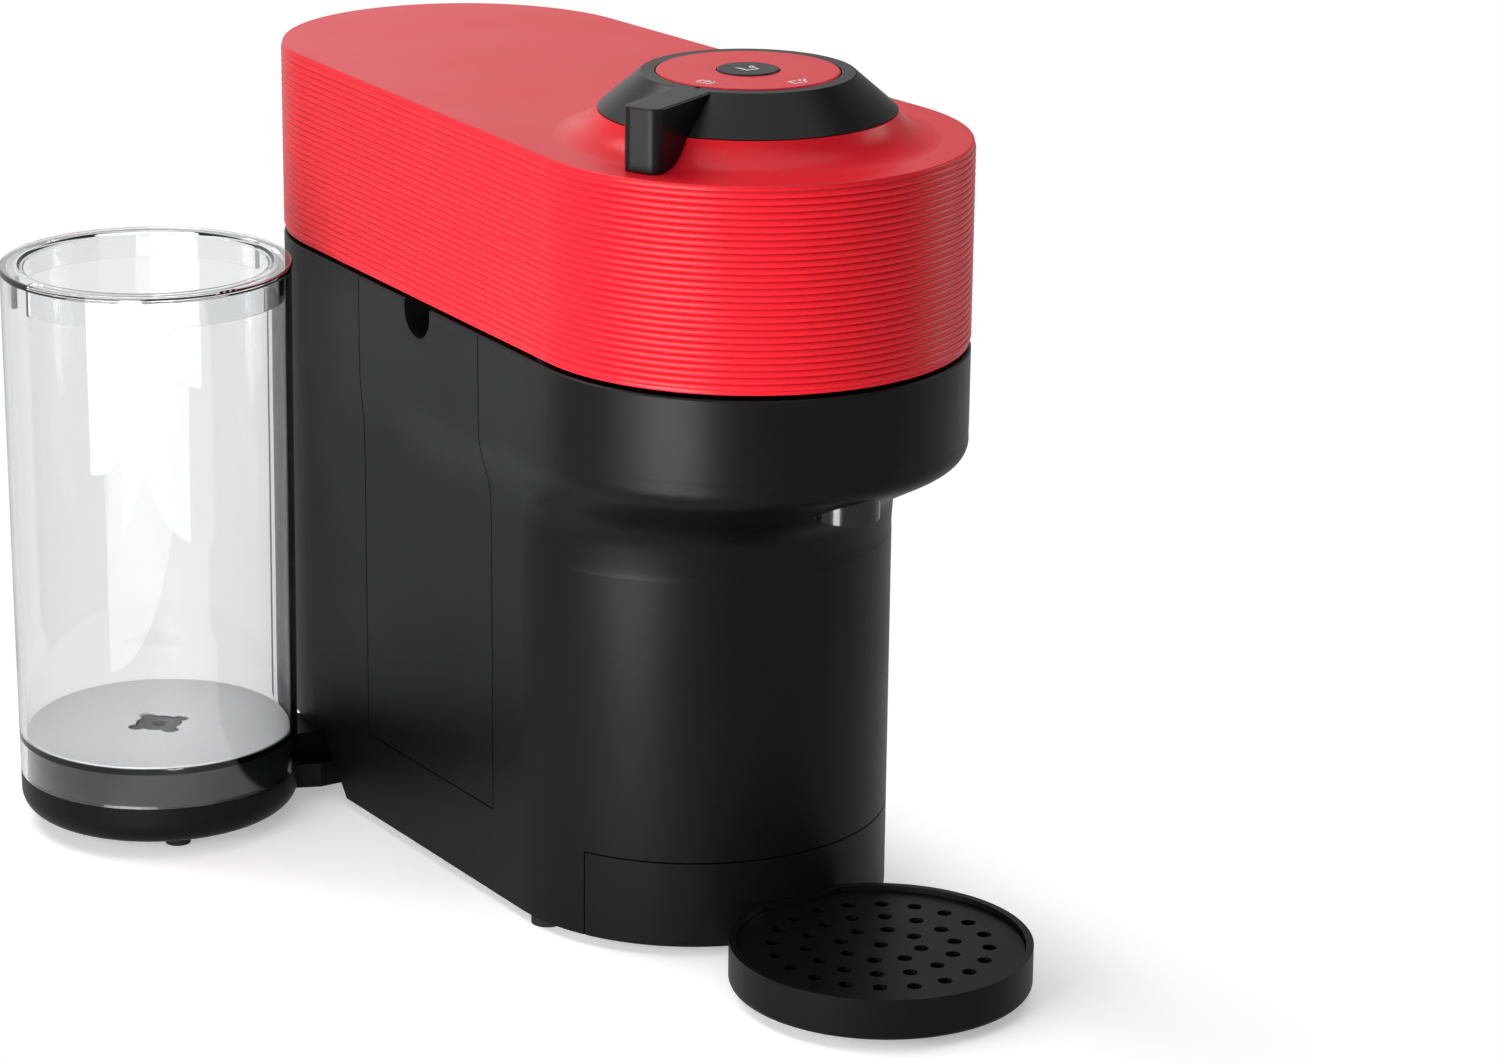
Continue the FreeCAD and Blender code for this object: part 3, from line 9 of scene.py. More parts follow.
import bpy
from mathutils import Matrix, Vector


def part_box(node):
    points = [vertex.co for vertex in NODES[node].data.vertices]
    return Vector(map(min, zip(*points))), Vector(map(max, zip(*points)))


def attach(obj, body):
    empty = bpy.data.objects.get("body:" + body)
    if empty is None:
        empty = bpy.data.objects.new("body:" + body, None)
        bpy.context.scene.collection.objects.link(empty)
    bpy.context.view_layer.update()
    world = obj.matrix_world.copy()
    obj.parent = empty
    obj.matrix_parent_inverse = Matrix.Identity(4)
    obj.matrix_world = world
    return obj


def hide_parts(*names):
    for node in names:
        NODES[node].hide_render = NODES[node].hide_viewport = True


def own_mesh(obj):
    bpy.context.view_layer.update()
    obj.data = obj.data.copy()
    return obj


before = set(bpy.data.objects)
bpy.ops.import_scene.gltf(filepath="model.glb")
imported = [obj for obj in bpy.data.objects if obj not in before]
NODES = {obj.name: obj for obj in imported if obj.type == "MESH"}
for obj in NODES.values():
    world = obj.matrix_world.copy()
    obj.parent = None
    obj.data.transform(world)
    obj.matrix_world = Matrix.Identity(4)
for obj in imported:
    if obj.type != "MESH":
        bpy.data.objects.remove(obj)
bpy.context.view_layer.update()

MM = 0.001
print("loaded", len(NODES), "CAD nodes")

# %% [markdown]
# A few helpers carry all the materials. Colours are written as the hex codes that a colour picker shows, and
# Blender's sockets want linear light, so one function converts them. One more adds a node, sets its
# properties and its sockets, and links what is handed to it as a socket. That keeps each material readable
# as a list of steps from coordinates to shader.

# %% Helpers for materials
painted = set()


def hex_colour(code):
    """sRGB hex code to linear red, green, blue and alpha."""
    channels = [int(code[i:i + 2], 16) / 255 for i in (1, 3, 5)]
    linear = [c / 12.92 if c <= 0.04045 else ((c + 0.055) / 1.055) ** 2.4 for c in channels]
    return (*linear, 1.0)


def add(tree, kind, sockets=None, **settings):
    """One node with its settings; a socket gets a value, or a link where another socket is given."""
    made = tree.nodes.new(kind)
    for name, value in settings.items():
        setattr(made, name, value)
    for name, value in (sockets or {}).items():
        if isinstance(value, bpy.types.NodeSocket):
            tree.links.new(value, made.inputs[name])
        else:
            made.inputs[name].default_value = value
    return made


def per_mm(size):
    """Texture scale that gives features of this size in millimetres."""
    return 1.0 / (size * MM)


def new_material(name):
    """An empty material with its shader, its output and the object's own coordinates."""
    material = bpy.data.materials.new(name)
    material.use_nodes = True
    tree = material.node_tree
    tree.nodes.clear()
    shader = add(tree, "ShaderNodeBsdfPrincipled")
    add(tree, "ShaderNodeOutputMaterial", {"Surface": shader.outputs["BSDF"]})
    place = add(tree, "ShaderNodeTexCoord").outputs["Object"]
    return material, tree, shader, place


def paint(material, *names):
    """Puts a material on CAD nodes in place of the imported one."""
    for name in names:
        mesh = NODES[name].data
        mesh.materials.clear()
        mesh.materials.append(material)
    painted.update(names)


# %% [markdown]
# Most of the machine is injection-moulded plastic. The steel mould is spark-eroded, which leaves a fine
# sandy grain on the part; the plastic itself is never quite one colour or one gloss, because it cools
# unevenly and is touched. So each moulded finish has three layers: a grain that bumps the surface, slow
# patches that change the gloss, and a slight change of colour. The grain is 0.3 to 0.8 mm on the real part;
# under 0.6 mm most of it would vanish in the render, so it is drawn a little coarser here.

# %% Moulded plastics
PLASTIC_IOR = 1.5
PATCH_MM = 38.0
NOISE_LOW, NOISE_HIGH = 0.3, 0.7
GRAIN_LOW, GRAIN_HIGH = 0.25, 0.75


def moulded_plastic(name, dark, light, grain_mm, depth_mm, gloss, specular):
    """Moulded plastic; gloss is the lowest and highest roughness of its patches."""
    material, tree, shader, place = new_material(name)
    grain = add(tree, "ShaderNodeTexNoise", {"Vector": place, "Scale": per_mm(grain_mm), "Detail": 3.0})
    patches = add(tree, "ShaderNodeTexNoise", {"Vector": place, "Scale": per_mm(PATCH_MM), "Detail": 4.0})
    rough = add(tree, "ShaderNodeMapRange", {
        "Value": patches.outputs["Fac"], "From Min": NOISE_LOW, "From Max": NOISE_HIGH,
        "To Min": gloss[0], "To Max": gloss[1],
    })
    blend = add(tree, "ShaderNodeMapRange", {
        "Value": grain.outputs["Fac"], "From Min": GRAIN_LOW, "From Max": GRAIN_HIGH,
        "To Min": 0.0, "To Max": 1.0,
    })
    colour = add(tree, "ShaderNodeMix", {
        "Factor": blend.outputs["Result"], "A": hex_colour(dark), "B": hex_colour(light),
    }, data_type="RGBA")
    bump = add(tree, "ShaderNodeBump", {
        "Height": grain.outputs["Fac"], "Distance": depth_mm * MM, "Strength": 1.0,
    })
    tree.links.new(colour.outputs["Result"], shader.inputs["Base Color"])
    tree.links.new(rough.outputs["Result"], shader.inputs["Roughness"])
    tree.links.new(bump.outputs["Normal"], shader.inputs["Normal"])
    shader.inputs["IOR"].default_value = PLASTIC_IOR
    shader.inputs["Specular IOR Level"].default_value = specular
    return material


# The casings have a broken, low gloss. What hands touch is finer and a little smoother.
black_abs = moulded_plastic("spark_textured_black_abs", "#09090a", "#0f0f10", 0.7, 0.02, (0.34, 0.4), 0.14)
satin_abs = moulded_plastic("satin_black_abs", "#0a0a0b", "#0f0f10", 0.6, 0.01, (0.3, 0.36), 0.2)
# A polished mould leaves only slow waves and clear reflections. Glass fibres dull and grey the nylon inside.
polished_pp = moulded_plastic(
    "polished_black_polypropylene", "#0b0b0c", "#101011", 2.0, 0.004, (0.1, 0.16), 0.5)
grey_nylon = moulded_plastic("grey_glass_filled_nylon", "#4a4b4d", "#5b5c5e", 0.8, 0.03, (0.45, 0.6), 0.3)
paint(black_abs, "housing", "panel_left", "panel_right", "front_plinth", "base_plate", "hub_cap", "swing_arm",
      "dock", "tray", "tray_grid", "deck", "head_plate", "board_rail", "cord_gland")
paint(satin_abs, "lever_ring", "lock_ring", "button", "disc_post", "valve_seat", "valve_poppet")
paint(polished_pp, "spout", "collector", "code_reader")
paint(grey_nylon, "capsule_holder", "clamp_rotor", "pump", "flow_meter")
print("moulded plastics on", len(painted), "nodes")

# %% [markdown]
# The red shell is ABS that is dyed through and moulded against fine horizontal ribs. The ribs are real in
# the CAD wall, 2 mm from one to the next, and the finish paints a little shade into the valleys: a darker
# red stands in for the light lost between the ribs. The painted-shade mask is a cosine of the height, and it
# fades out above the last rib so that the flat top stays even.

# %% Red shell and disc
RIB_PITCH = 2.0
RIB_TOP_Z = 242.5
RIB_FADE = 0.5


def red_abs(name):
    """Dyed-through red with an even, low gloss."""
    return moulded_plastic(name, "#e01a29", "#ec202f", 0.6, 0.006, (0.28, 0.32), 0.2)


def paint_valley_shade(material):
    """Paints shade between the ribs, a darker red up to the height of the last one."""
    tree = material.node_tree
    shader = next(n for n in tree.nodes if n.type == "BSDF_PRINCIPLED")
    smooth_colour = shader.inputs["Base Color"].links[0].from_socket
    place = next(n for n in tree.nodes if n.type == "TEX_COORD").outputs["Object"]
    height = add(tree, "ShaderNodeSeparateXYZ", {"Vector": place}).outputs["Z"]
    drop = add(tree, "ShaderNodeMath", {0: RIB_TOP_Z * MM, 1: height}, operation="SUBTRACT")
    below = drop.outputs["Value"]
    turn = add(tree, "ShaderNodeMath", {0: below, 1: 2 * math.pi / (RIB_PITCH * MM)}, operation="MULTIPLY")
    wave = add(tree, "ShaderNodeMath", {0: turn.outputs["Value"]}, operation="COSINE")
    valley_shade = add(tree, "ShaderNodeMapRange", {
        "Value": wave.outputs["Value"], "From Min": 0.5, "From Max": 1.0,
    })
    on_wall = add(tree, "ShaderNodeMapRange", {"Value": below, "From Min": -RIB_FADE * MM, "From Max": 0.0})
    mask = add(tree, "ShaderNodeMath", {
        0: valley_shade.outputs["Result"], 1: on_wall.outputs["Result"],
    }, operation="MULTIPLY")
    # Painted shade: the darker red #cd1523 is mixed in at the bottom of each rib valley.
    shade = add(tree, "ShaderNodeMix", {
        "Factor": mask.outputs["Value"], "A": smooth_colour, "B": hex_colour("#cd1523"),
    }, data_type="RGBA")
    tree.links.new(shade.outputs["Result"], shader.inputs["Base Color"])


red_ribbed = red_abs("moulded_red_abs_ribbed")
# Painted shade in the valleys of the ribbed red shell.
paint_valley_shade(red_ribbed)
red_smooth = red_abs("moulded_red_abs_smooth")
paint(red_ribbed, "head_shell")
paint(red_smooth, "disc")
print("red finishes:", red_ribbed.name, red_smooth.name)

# %% [markdown]
# The tank and its lid are styrene-acrylonitrile, a clear plastic that is common on kitchen machines, with an
# index of about 1.57. Its wall is really 2 mm thick in the CAD, so full transmission bends light as the real
# wall does, and absorption greys it where light runs a long way inside it. Moulding leaves very slow waves
# in the wall, and a few hairline marks from washing raise the roughness in places.

# %% Clear tank
SAN_IOR = 1.57
FLOW_MM, FLOW_DEPTH = 30.0, 0.05
WASH_MM, WASH_ROUGH = 6.0, 0.04
GREY_DENSITY = 48.0


def clear_plastic(name, tint, grey):
    """Clear moulded plastic with slow waves, washing marks and a grey that grows with depth."""
    material, tree, shader, place = new_material(name)
    flow = add(tree, "ShaderNodeTexNoise", {"Vector": place, "Scale": per_mm(FLOW_MM), "Detail": 1.0})
    wash = add(tree, "ShaderNodeTexNoise", {"Vector": place, "Scale": per_mm(WASH_MM), "Detail": 5.0})
    rough = add(tree, "ShaderNodeMapRange", {
        "Value": wash.outputs["Fac"], "From Min": 0.45, "From Max": 0.75, "To Min": 0.0, "To Max": WASH_ROUGH,
    })
    bump = add(tree, "ShaderNodeBump", {
        "Height": flow.outputs["Fac"], "Distance": FLOW_DEPTH * MM, "Strength": 1.0,
    })
    tree.links.new(rough.outputs["Result"], shader.inputs["Roughness"])
    tree.links.new(bump.outputs["Normal"], shader.inputs["Normal"])
    shader.inputs["Base Color"].default_value = hex_colour(tint)
    shader.inputs["Transmission Weight"].default_value = 1.0
    shader.inputs["IOR"].default_value = SAN_IOR
    depth = add(tree, "ShaderNodeVolumeAbsorption", {"Color": hex_colour(grey), "Density": GREY_DENSITY})
    output = next(n for n in tree.nodes if n.type == "OUTPUT_MATERIAL")
    tree.links.new(depth.outputs["Volume"], output.inputs["Volume"])
    return material


clear_san = clear_plastic("clear_moulded_san", "#fbfcfc", "#bcbebe")
paint(clear_san, "tank", "tank_lid")
print("clear plastic on tank and lid")

# %% [markdown]
# Inside are metal, rubber, silicone and circuit boards. They show only when the head is up or the tank is
# off, but each still gets its own surface. Turned steel keeps fine marks of the tool, and cast aluminium has
# a coarser skin. On both, one noise changes the gloss and bumps the surface a little.

# %% Metals
MARK_DEPTH = 0.01
SMOOTHER, ROUGHER = 0.08, 0.1


def worked_metal(name, base, mark_mm, roughness):
    """Bare metal; marks of this size change its roughness and bump it."""
    material, tree, shader, place = new_material(name)
    marks = add(tree, "ShaderNodeTexNoise", {"Vector": place, "Scale": per_mm(mark_mm), "Detail": 4.0})
    rough = add(tree, "ShaderNodeMapRange", {
        "Value": marks.outputs["Fac"], "From Min": NOISE_LOW, "From Max": NOISE_HIGH,
        "To Min": roughness - SMOOTHER, "To Max": roughness + ROUGHER,
    })
    bump = add(tree, "ShaderNodeBump", {
        "Height": marks.outputs["Fac"], "Distance": MARK_DEPTH * MM, "Strength": 1.0,
    })
    tree.links.new(rough.outputs["Result"], shader.inputs["Roughness"])
    tree.links.new(bump.outputs["Normal"], shader.inputs["Normal"])
    shader.inputs["Base Color"].default_value = hex_colour(base)
    shader.inputs["Metallic"].default_value = 1.0
    return material


steel = worked_metal("turned_stainless_steel", "#b9babd", 0.5, 0.3)
cast = worked_metal("die_cast_aluminium", "#a9abae", 1.2, 0.45)
paint(steel, "motor", "hinge_pin", "needle", "holder_bearing", "clamp_bearing", "heater_bracket",
      "hub_screws", "base_screws", "deck_screws", "head_screws", "motor_screws")
paint(cast, "motor_mount", "heater")
print("metals:", steel.name, cast.name)

# %% [markdown]
# Rubber and silicone share the layers of the moulded plastics, with a dull bloom in place of a gloss. A
# circuit board is glass epoxy under a green solder mask. The copper tracks under the mask show as paler lines
# round darker fields, which a brick pattern gives.

# %% Rubber, silicone and boards
TRACK_MM, TRACK_SHARE = 9.0, 0.03
BOARD_ROUGH = 0.35


def soft_compound(name, dark, light):
    """Rubber or silicone with a dull, even bloom."""
    return moulded_plastic(name, dark, light, 0.9, 0.03, (0.7, 0.85), 0.25)


def masked_board(name, dark, light, track):
    """Circuit board: solder mask in two close greens, with paler tracks."""
    material, tree, shader, place = new_material(name)
    tracks = add(tree, "ShaderNodeTexBrick", {
        "Vector": place, "Scale": per_mm(TRACK_MM), "Mortar Size": TRACK_SHARE,
        "Color1": hex_colour(dark), "Color2": hex_colour(light), "Mortar": hex_colour(track),
    })
    tree.links.new(tracks.outputs["Color"], shader.inputs["Base Color"])
    shader.inputs["Roughness"].default_value = BOARD_ROUGH
    return material


rubber = soft_compound("moulded_black_rubber", "#171716", "#20201f")
silicone = soft_compound("extruded_white_silicone", "#d9d9d3", "#e6e6e0")
board = masked_board("solder_masked_glass_epoxy", "#0f4a24", "#14562b", "#1f6b38")
paint(rubber, "feet", "tray_pads", "head_gasket", "button_dome", "dock_seal", "dock_glides", "valve_spring",
      "pump_mounts")
paint(silicone, "suction_tube", "pump_tube", "pressure_tube", "hot_tube", "head_tube")
paint(board, "button_board", "control_board")
print("nodes without a finish:", sorted(set(NODES) - painted))

# %% [markdown]
# New pieces are modelled with operators, as by hand. An operator acts on all that is selected, so these
# helpers deselect everything first and then select one object, or faces by their place or normal. A finished
# piece has its place in its mesh, as a CAD node has, and its object stays at the origin.

# %% Helpers for modelling


def select_only(obj):
    """Makes this the one selected object and the active one."""
    bpy.ops.object.select_all(action="DESELECT")
    obj.select_set(True)
    bpy.context.view_layer.objects.active = obj


def fresh(name, operator, **size):
    """Adds a primitive as a named object, with nothing else selected."""
    bpy.ops.object.select_all(action="DESELECT")
    operator(**size)
    made = bpy.context.active_object
    made.name = name
    made.data.name = name
    return made


def settle(obj):
    """Applies the object's place to its mesh, so that the object sits at the origin."""
    select_only(obj)
    bpy.ops.object.transform_apply(location=True, rotation=True, scale=True)


def apply_modifier(obj, kind, **settings):
    """Adds a modifier, sets it and applies it."""
    select_only(obj)
    modifier = obj.modifiers.new(kind.title(), kind)
    for name, value in settings.items():
        setattr(modifier, name, value)
    bpy.ops.object.modifier_apply(modifier=modifier.name)


def pick(obj, test):
    """Opens the mesh in edit mode with the faces selected whose centre and normal pass the test."""
    select_only(obj)
    bpy.ops.object.mode_set(mode="EDIT")
    bpy.ops.mesh.select_mode(type="FACE")
    bpy.ops.mesh.select_all(action="DESELECT")
    bpy.ops.object.mode_set(mode="OBJECT")
    for face in obj.data.polygons:
        face.select = bool(test(face.center, face.normal))
    bpy.ops.object.mode_set(mode="EDIT")


def joined(name, first, *others):
    """Joins pieces to one object with this name."""
    select_only(first)
    for other in others:
        other.select_set(True)
    bpy.ops.object.join()
    first.name = name
    first.data.name = name
    return first


def dress(obj, material, body):
    """Gives a new piece its finish and the body it rides on."""
    obj.data.materials.clear()
    obj.data.materials.append(material)
    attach(obj, body)


# %% [markdown]
# The printed marks are one-colour pad prints: a closed and an open padlock on the red disc, which say where
# the lever locks, and a plain cup sign on the button. A print is a film of ink, so each mark is a flat shape
# 0.05 mm thick, just clear of the plastic. Each starts as a primitive, is cut to its outline in edit mode and
# gets its thickness with Solidify, which is then applied. Curved strokes are spun, and without a window spin
# turns clockwise, so the bow of a padlock hangs into its block.

# %% Padlock marks on the disc
INK_T, INK_LIFT = 0.05, 0.01
STROKE = 0.6
LOCK_W, LOCK_H = 5.0, 3.6
BOW_R, BOW_STEPS = 1.75, 16
OPEN_SHIFT = 2.5
MARK_R = 21.6
LOCKED_AT, OPEN_AT = -158.4, -82.7
MERGE = 1e-6
DISC_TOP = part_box("disc")[1].z
ink = moulded_plastic("white_pad_print_ink", "#e9e5e4", "#f6f3f2", 0.5, 0.004, (0.45, 0.55), 0.3)


def flat_ring(name, outer, inner, start, sweep, steps):
    """Flat ring segment in the XY plane: a short edge at the start angle is spun clockwise."""
    ring = fresh(name, bpy.ops.mesh.primitive_plane_add, size=1.0)
    bpy.ops.object.mode_set(mode="EDIT")
    bpy.ops.mesh.select_all(action="SELECT")
    bpy.ops.mesh.delete(type="ONLY_FACE")
    bpy.ops.object.mode_set(mode="OBJECT")
    # The plane's corners fall together in pairs, which leaves one edge across the ring.
    for vertex, radius in zip(ring.data.vertices, (inner, outer, inner, outer)):
        vertex.co = (math.cos(start) * radius, math.sin(start) * radius, 0.0)
    bpy.ops.object.mode_set(mode="EDIT")
    bpy.ops.mesh.select_all(action="SELECT")
    bpy.ops.mesh.remove_doubles(threshold=MERGE)
    bpy.ops.mesh.select_all(action="SELECT")
    bpy.ops.mesh.spin(steps=steps, angle=sweep, center=(0, 0, 0), axis=(0, 0, 1))
    bpy.ops.mesh.select_all(action="SELECT")
    bpy.ops.mesh.remove_doubles(threshold=MERGE)
    bpy.ops.mesh.normals_make_consistent(inside=False)
    bpy.ops.object.mode_set(mode="OBJECT")
    return ring


def padlock(name, angle, shift):
    """A small padlock at an angle round the knob, its bow moved aside by the shift."""
    block = fresh(name + "_block", bpy.ops.mesh.primitive_plane_add, size=1.0)
    block.scale = (LOCK_W * MM, LOCK_H * MM, 1.0)
    settle(block)
    pick(block, lambda centre, normal: True)
    bpy.ops.mesh.inset(thickness=STROKE * MM, depth=0.0)
    bpy.ops.mesh.delete(type="FACE")
    bpy.ops.object.mode_set(mode="OBJECT")
    bow = flat_ring(name + "_bow", BOW_R * MM, (BOW_R - STROKE) * MM, 0.0, math.pi, BOW_STEPS)
    bow.location = (shift * MM, LOCK_H / 2 * MM, 0.0)
    settle(bow)
    mark = joined(name, block, bow)
    mark.rotation_euler = (0.0, 0.0, angle + math.pi / 2)
    radius = MARK_R * MM
    mark.location = (radius * math.cos(angle), radius * math.sin(angle), DISC_TOP + INK_LIFT * MM)
    settle(mark)
    apply_modifier(mark, "SOLIDIFY", thickness=INK_T * MM, offset=1.0)
    dress(mark, ink, "head")
    return mark


locked = padlock("mark_locked", math.radians(LOCKED_AT), 0.0)
unlocked = padlock("mark_unlocked", math.radians(OPEN_AT), OPEN_SHIFT)
print("padlocks:", len(locked.data.polygons), len(unlocked.data.polygons), "faces")

# %% [markdown]
# The button's sign is a plain cup seen from the side and open at the top. Its bowl is a flat plate that is
# narrowed below, inset and emptied, so that three strokes stay. Its handle is a ring segment on the inner
# side of the right stroke. Both are on the button's own body, so that they go down with it.

# %% Cup sign on the button
BUTTON_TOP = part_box("button")[1].z
CUP_W, CUP_H, CUP_FOOT = 6.0 * MM, 5.4 * MM, 0.7
CUP_STROKE = 1.2 * STROKE * MM
HANDLE_R, HANDLE_STEPS = 1.7, 12

bowl = fresh("sign_bowl", bpy.ops.mesh.primitive_plane_add, size=1.0)
bowl.scale = (CUP_W, CUP_H, 1.0)
settle(bowl)
for vertex in bowl.data.vertices:
    if vertex.co.y < 0.0:
        vertex.co.x *= CUP_FOOT
pick(bowl, lambda centre, normal: True)
bpy.ops.mesh.inset(thickness=CUP_STROKE, depth=0.0)
bpy.ops.object.mode_set(mode="OBJECT")
# The middle face and the top stroke go.
pick(bowl, lambda centre, normal: abs(centre.x) < 0.1 * CUP_W and centre.y > -0.3 * CUP_H)
bpy.ops.mesh.delete(type="FACE")
bpy.ops.object.mode_set(mode="OBJECT")
handle = flat_ring(
    "sign_handle", HANDLE_R * MM, (HANDLE_R - STROKE) * MM, -math.pi / 2, math.pi, HANDLE_STEPS)
handle.location = (0.42 * CUP_W, 0.1 * CUP_H, 0.0)
settle(handle)
sign = joined("mark_cup", bowl, handle)
sign.location = (0.0, 0.0, BUTTON_TOP + INK_LIFT * MM)
settle(sign)
apply_modifier(sign, "SOLIDIFY", thickness=INK_T * MM, offset=1.0)
dress(sign, ink, "button")
print("cup sign:", len(sign.data.polygons), "faces")

# %% [markdown]
# The button comes back up on a rubber dome that buckles under its stem. The CAD dome is rigid; it is hidden,
# and a rubber one takes its place: a blunt cone whose foot is inset and pushed up to hollow it, with its
# edges rounded by Bevel.

# %% Rubber dome under the button
DOME_FOOT, DOME_HEAD, DOME_INNER_HEAD = 6.0 * MM, 3.4 * MM, 2.6 * MM
DOME_WALL, DOME_ROOF, DOME_EDGE = 1.5 * MM, 1.2 * MM, 0.2 * MM
DOME_STEPS = 48

dome_low, dome_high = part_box("button_dome")
dome_height = dome_high.z - dome_low.z
dome = fresh("soft_button_dome", bpy.ops.mesh.primitive_cone_add, vertices=DOME_STEPS, radius1=DOME_FOOT,
             radius2=DOME_HEAD, depth=dome_height, location=(0.0, 0.0, dome_low.z + dome_height / 2))
settle(dome)
pick(dome, lambda centre, normal: normal.z < -0.9)
bpy.ops.mesh.inset(thickness=DOME_WALL, depth=0.0)
bpy.ops.mesh.extrude_region_move(TRANSFORM_OT_translate={"value": (0.0, 0.0, dome_height - DOME_ROOF)})
taper = DOME_INNER_HEAD / (DOME_FOOT - DOME_WALL)
bpy.ops.transform.resize(value=(taper, taper, 1.0))
bpy.ops.object.mode_set(mode="OBJECT")
apply_modifier(dome, "BEVEL", width=DOME_EDGE, segments=2, limit_method="ANGLE")
dress(dome, rubber, "head")
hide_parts("button_dome")
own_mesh(dome)
print("rubber dome:", len(dome.data.polygons), "faces,", round(dome_height / MM, 2), "mm high")

# %% [markdown]
# Seen through its wall, the tank's floor is pale and matt round the dark valve. A thin frosted plate lies on
# it, with an opening that follows the four lobes of the valve's guard. It is a flat ring, spun like the
# padlock's bow but all the way round. Solidify gives it its thickness, four cylinders cut the lobes with
# Boolean, and Bevel softens its edge.

# %% Frosted floor of the tank
PLATE_R, PLATE_T, PLATE_EDGE, PLATE_LIFT = 42.0, 0.5, 0.12, 0.05
HOLE_R, LOBE_R, LOBE_REACH = 7.4, 2.9, 7.8
PLATE_STEPS, LOBE_STEPS = 96, 24
frosted = moulded_plastic("frosted_pale_san", "#eceeee", "#f8f9f9", 0.8, 0.01, (0.4, 0.5), 0.3)

tank_low, tank_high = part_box("tank")
tank_middle = (tank_low + tank_high) / 2
seat_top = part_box("valve_seat")[1].z
plate_place = Vector((tank_middle.x, tank_middle.y, seat_top + PLATE_LIFT * MM))
plate = flat_ring("tank_floor_plate", PLATE_R * MM, HOLE_R * MM, 0.0, 2 * math.pi, PLATE_STEPS)
plate.location = plate_place
settle(plate)
apply_modifier(plate, "SOLIDIFY", thickness=PLATE_T * MM, offset=1.0)
for quarter in range(4):
    lobe = Matrix.Rotation(quarter * math.pi / 2, 3, "Z") @ Vector((LOBE_REACH * MM, 0.0, 0.0))
    cutter = fresh("lobe_cutter", bpy.ops.mesh.primitive_cylinder_add, vertices=LOBE_STEPS,
                   radius=LOBE_R * MM, depth=10 * PLATE_T * MM, location=plate_place + lobe)
    settle(cutter)
    apply_modifier(plate, "BOOLEAN", object=cutter, operation="DIFFERENCE", solver="EXACT")
    bpy.data.objects.remove(cutter)
apply_modifier(plate, "BEVEL", width=PLATE_EDGE * MM, segments=2, limit_method="ANGLE")
dress(plate, frosted, "tank")
print("tank floor plate:", len(plate.data.polygons), "faces")

# %% [markdown]
# The floor is one large pale plane. It keeps the soft shadow close to the machine and turns to plain white
# further out, so that no horizon shows. The plain white comes from Light Path: only rays from the camera,
# or those that a mirror or a clear wall passes on, see the glowing part, so it puts no light on matt
# surfaces. How far a spot is from the machine is measured from a rectangle round its foot. Mirrored in the
# machine's walls, the floor is dimmer than it is to the camera, which keeps the black plastic black.

# %% Floor
FLOOR_SIZE, FLOOR_DROP = 12.0, 0.0002
FOOT_CENTRE = (-0.065, 0.03, 0.0)
FOOT_HALF = (0.105, 0.18, 1.0)
FADE = 0.06
NEAR_GLOW = 0.36
GLOSSY_SHARE = 0.55
WHITE = (1.0, 1.0, 1.0, 1.0)

floor = fresh("floor", bpy.ops.mesh.primitive_plane_add, size=FLOOR_SIZE, location=(0.0, 0.0, -FLOOR_DROP))
settle(floor)
paper = bpy.data.materials.new("white_paper_sweep")
paper.use_nodes = True
tree = paper.node_tree
tree.nodes.clear()

# Distance from the rectangle, zero inside it
place = add(tree, "ShaderNodeTexCoord").outputs["Object"]
shifted = add(tree, "ShaderNodeVectorMath", {0: place, 1: FOOT_CENTRE}, operation="SUBTRACT")
folded = add(tree, "ShaderNodeVectorMath", {0: shifted.outputs["Vector"]}, operation="ABSOLUTE")
past = add(tree, "ShaderNodeVectorMath", {0: folded.outputs["Vector"], 1: FOOT_HALF}, operation="SUBTRACT")
aside = add(tree, "ShaderNodeVectorMath", {
    0: past.outputs["Vector"], 1: (0.0, 0.0, 0.0),
}, operation="MAXIMUM")
distance = add(tree, "ShaderNodeVectorMath", {0: aside.outputs["Vector"]}, operation="LENGTH")
far = add(tree, "ShaderNodeMapRange", {
    "Value": distance.outputs["Value"], "From Min": 0.0, "From Max": FADE, "To Min": 0.0, "To Max": 1.0,
}, interpolation_type="SMOOTHSTEP")

# 1 for rays of the camera and for those sent on by glossy or clear surfaces
path = add(tree, "ShaderNodeLightPath")
seen_or_mirrored = add(tree, "ShaderNodeMath", {
    0: path.outputs["Is Camera Ray"], 1: path.outputs["Is Glossy Ray"],
}, operation="MAXIMUM")
seen = add(tree, "ShaderNodeMath", {
    0: seen_or_mirrored.outputs["Value"], 1: path.outputs["Is Transmission Ray"],
}, operation="MAXIMUM").outputs["Value"]

# Paper with its shadow near the machine, plain white further out
near_glow = add(tree, "ShaderNodeMath", {0: seen, 1: NEAR_GLOW}, operation="MULTIPLY")
matt = add(tree, "ShaderNodeBsdfDiffuse", {"Color": hex_colour("#f4f4f4")})
lifted = add(tree, "ShaderNodeEmission", {"Color": WHITE, "Strength": near_glow.outputs["Value"]})
near = add(tree, "ShaderNodeAddShader", {0: matt.outputs["BSDF"], 1: lifted.outputs["Emission"]})
white = add(tree, "ShaderNodeEmission", {"Color": WHITE, "Strength": 1.0})
share = add(tree, "ShaderNodeMath", {0: far.outputs["Result"], 1: seen}, operation="MULTIPLY")
lit = add(tree, "ShaderNodeMixShader", {
    0: share.outputs["Value"], 1: near.outputs["Shader"], 2: white.outputs["Emission"],
})

